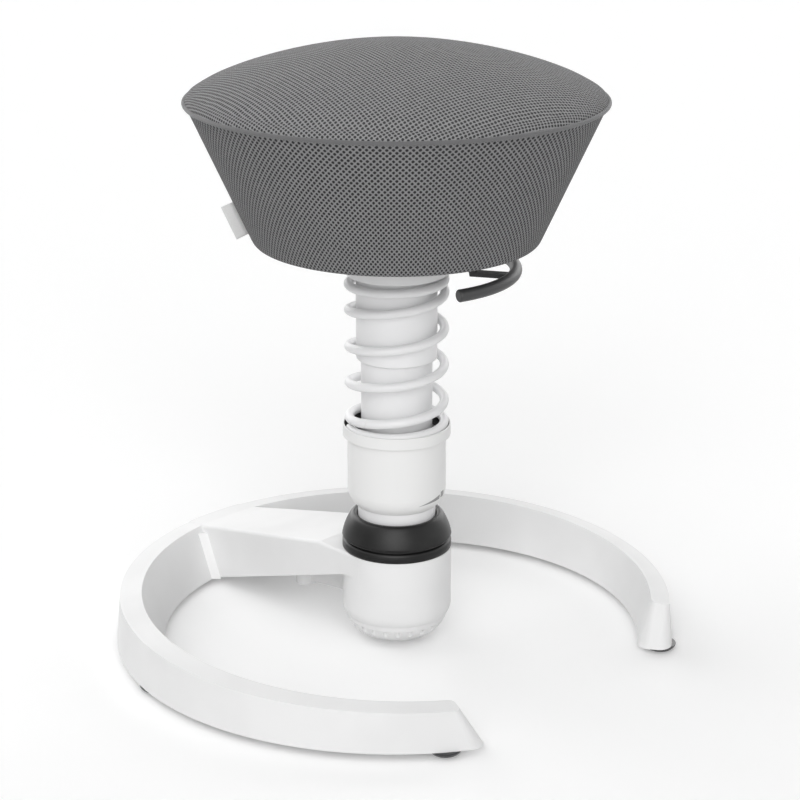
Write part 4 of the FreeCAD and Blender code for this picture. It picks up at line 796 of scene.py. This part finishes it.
spring_low = sweep("coil_lower", wire_line(0.0, MEET, 90), WIRE, tube_white)
spring_high = sweep("coil_upper", wire_line(MEET, TURNS, 300), WIRE, tube_white)
meet_z = wire_line(0.0, MEET, 10)[-1][2]
top_z = END_Z + WIRE
meet_z - 0.001
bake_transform(spring_low)
1 - BOUNCE / (top_z - meet_z)
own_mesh(spring_high)
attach(spring_high, "column")
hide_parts("coil_spring")
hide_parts("coil_spring")
print("spring has", round(TURNS, 2), "turns; its pieces meet at z =", round(meet_z, 4))

# %% [markdown]
# ## A black ring in the cup
# A thin black wall, 0.4 mm thick, stands inside the cup from the pad's top to just below the cup's rim,
# where it shows as a dark line.

# %% Black ring in the cup
UP_IN, UP_OUT, CHAMFER = 0.04756, 0.04795, (0.0001, 0.0002)
pad_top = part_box("spring_pad")[1].z
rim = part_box("preload_cup")[1].z - 0.001
wall = [(UP_IN, pad_top), (UP_OUT, pad_top), (UP_OUT, rim - CHAMFER[1]),
        (UP_OUT - CHAMFER[0], rim), (UP_IN + 0.00009, rim), (UP_IN, rim - CHAMFER[1])]
black_ring = spin("spring_pad_upstand", wall, grip_black, 144)
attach(black_ring, "spring_seat")
print("upstand is", round((rim - pad_top) * 1000, 1), "mm high")

# %% [markdown]
# ## Floor and world
# A studio shot on white. The floor has to look white and still take the stool's shadow, so its shader adds
# a little light of its own for camera, glossy and transmission rays. Every other ray meets plain matt
# paper. The world is white to the same three kinds of ray and gives the stool no light: that is left to
# the lamps.

# %% White floor and world
FLOOR_MATT, FLOOR_SEEN, FLOOR_GLOW = 0.8, 0.9, 0.19
FLOOR_HALF = 40


def studio_ray(tree):
    """1 for camera, glossy and transmission rays."""
    rays = tree.nodes.new("ShaderNodeLightPath")
    total = rays.outputs["Is Camera Ray"]
    for name in ("Is Glossy Ray", "Is Transmission Ray"):
        add = tree.nodes.new("ShaderNodeMath")
        add.operation = "MAXIMUM"
        tree.links.new(total, add.inputs[0])
        tree.links.new(rays.outputs[name], add.inputs[1])
        total = add.outputs[0]
    return total


def set_shaders(tree, plain, seen, output):
    """Shows one shader to studio rays and the plain one to all the rest."""
    mix = tree.nodes.new("ShaderNodeMixShader")
    tree.links.new(studio_ray(tree), mix.inputs[0])
    tree.links.new(plain.outputs[0], mix.inputs[1])
    tree.links.new(seen.outputs[0], mix.inputs[2])
    tree.links.new(mix.outputs[0], tree.nodes.new(output).inputs[0])


def diffuse(tree, value):
    shader = tree.nodes.new("ShaderNodeBsdfDiffuse")
    shader.inputs["Color"].default_value = (value, value, value, 1)
    return shader


def background(tree, strength):
    shader = tree.nodes.new("ShaderNodeBackground")
    shader.inputs["Strength"].default_value = strength
    return shader


floor_mesh = bpy.data.meshes.new("studio_floor")
corners = [(x * FLOOR_HALF, y * FLOOR_HALF, 0) for x, y in ((-1, -1), (1, -1), (1, 1), (-1, 1))]
floor_mesh.from_pydata(corners, [], [(0, 1, 2, 3)])
floor = bpy.data.objects.new("studio_floor", floor_mesh)
bpy.context.scene.collection.objects.link(floor)
paper = bpy.data.materials.new("studio_paper")
paper.use_nodes = True
tree = paper.node_tree
tree.nodes.clear()
glow = tree.nodes.new("ShaderNodeEmission")
glow.inputs["Strength"].default_value = FLOOR_GLOW
bright = tree.nodes.new("ShaderNodeAddShader")
tree.links.new(diffuse(tree, FLOOR_SEEN).outputs[0], bright.inputs[0])
tree.links.new(glow.outputs[0], bright.inputs[1])
set_shaders(tree, diffuse(tree, FLOOR_MATT), bright, "ShaderNodeOutputMaterial")
floor_mesh.materials.append(paper)

world = bpy.data.worlds.new("studio")
bpy.context.scene.world = world
world.use_nodes = True
world.node_tree.nodes.clear()
set_shaders(world.node_tree, background(world.node_tree, 0.0), background(world.node_tree, 1.0),
            "ShaderNodeOutputWorld")
print("floor is", 2 * FLOOR_HALF, "m wide")

# %% [markdown]
# ## Lamps
# The stool is lit from all round by very wide lamps, so every shadow is soft. The strongest stand in front
# and behind on both sides, which keeps the white ring's inside and outside nearly alike, as in the
# photograph. Each is given by its direction from the camera's, its height, its strength and its spread.

# %% Soft studio light
LAMPS = (
    ("front", 0, 20, 1.3, 50), ("front_left", -25, 20, 0.42, 50), ("front_high", -10, 50, 0.55, 50),
    ("right", 60, 20, 0.21, 50), ("right_side", 100, 20, 0.24, 50),
    ("left_high", -100, 50, 0.74, 50), ("back_left", -150, 20, 1.22, 50),
    ("back_right", 150, 20, 1.0, 50), ("overhead", 0, 89, 0.34, 60))


def direction(azimuth, elevation):
    """A unit vector from two angles in radians."""
    flat = math.cos(elevation)
    return Vector((math.cos(azimuth) * flat, math.sin(azimuth) * flat, math.sin(elevation)))


def lamp(name, azimuth, elevation, strength, spread):
    """A very distant lamp; spread is the angle that it fills, so a wide one gives soft shadows."""
    data = bpy.data.lights.new(name, "SUN")
    data.energy = strength
    data.angle = math.radians(spread)
    light = bpy.data.objects.new(name, data)
    toward = direction(math.radians(azimuth), math.radians(elevation))
    light.rotation_euler = (-toward).to_track_quat("-Z", "Y").to_euler()
    bpy.context.scene.collection.objects.link(light)


for name, azimuth, elevation, strength, spread in LAMPS:
    lamp(name, VIEW_FROM + azimuth, elevation, strength, spread)
print(len(LAMPS), "lamps")

# %% [markdown]
# ## The camera
# The photograph was matched by fitting a camera to the ring's and seat's outlines: it stands 1.94 m from
# the column at 0.88 m above the floor and looks 18.5 degrees down through a 101 mm lens. It aims a little
# to the side of the column, by ASIDE in radians.

# %% Camera
SENSOR, FOCAL_PIXELS, PHOTO_PIXELS = 36.0, 2245.24, 800
CAMERA_AWAY, CAMERA_Z, CAMERA_DOWN, ASIDE = 1.9395, 0.8809, 18.514, 0.00154
camera_data = bpy.data.cameras.new("photo_camera")
camera_data.sensor_width = SENSOR
camera_data.lens = FOCAL_PIXELS / PHOTO_PIXELS * SENSOR
camera = bpy.data.objects.new("photo_camera", camera_data)
bpy.context.scene.collection.objects.link(camera)
stand = math.radians(VIEW_FROM)
camera.location = (CAMERA_AWAY * math.cos(stand), AXIS + CAMERA_AWAY * math.sin(stand), CAMERA_Z)
ahead = direction(stand + math.pi - ASIDE, -math.radians(CAMERA_DOWN))
camera.rotation_euler = ahead.to_track_quat("-Z", "Y").to_euler()
bpy.context.scene.camera = camera
bpy.context.scene.view_settings.view_transform = "Standard"
print("lens", round(camera_data.lens, 1), "mm")
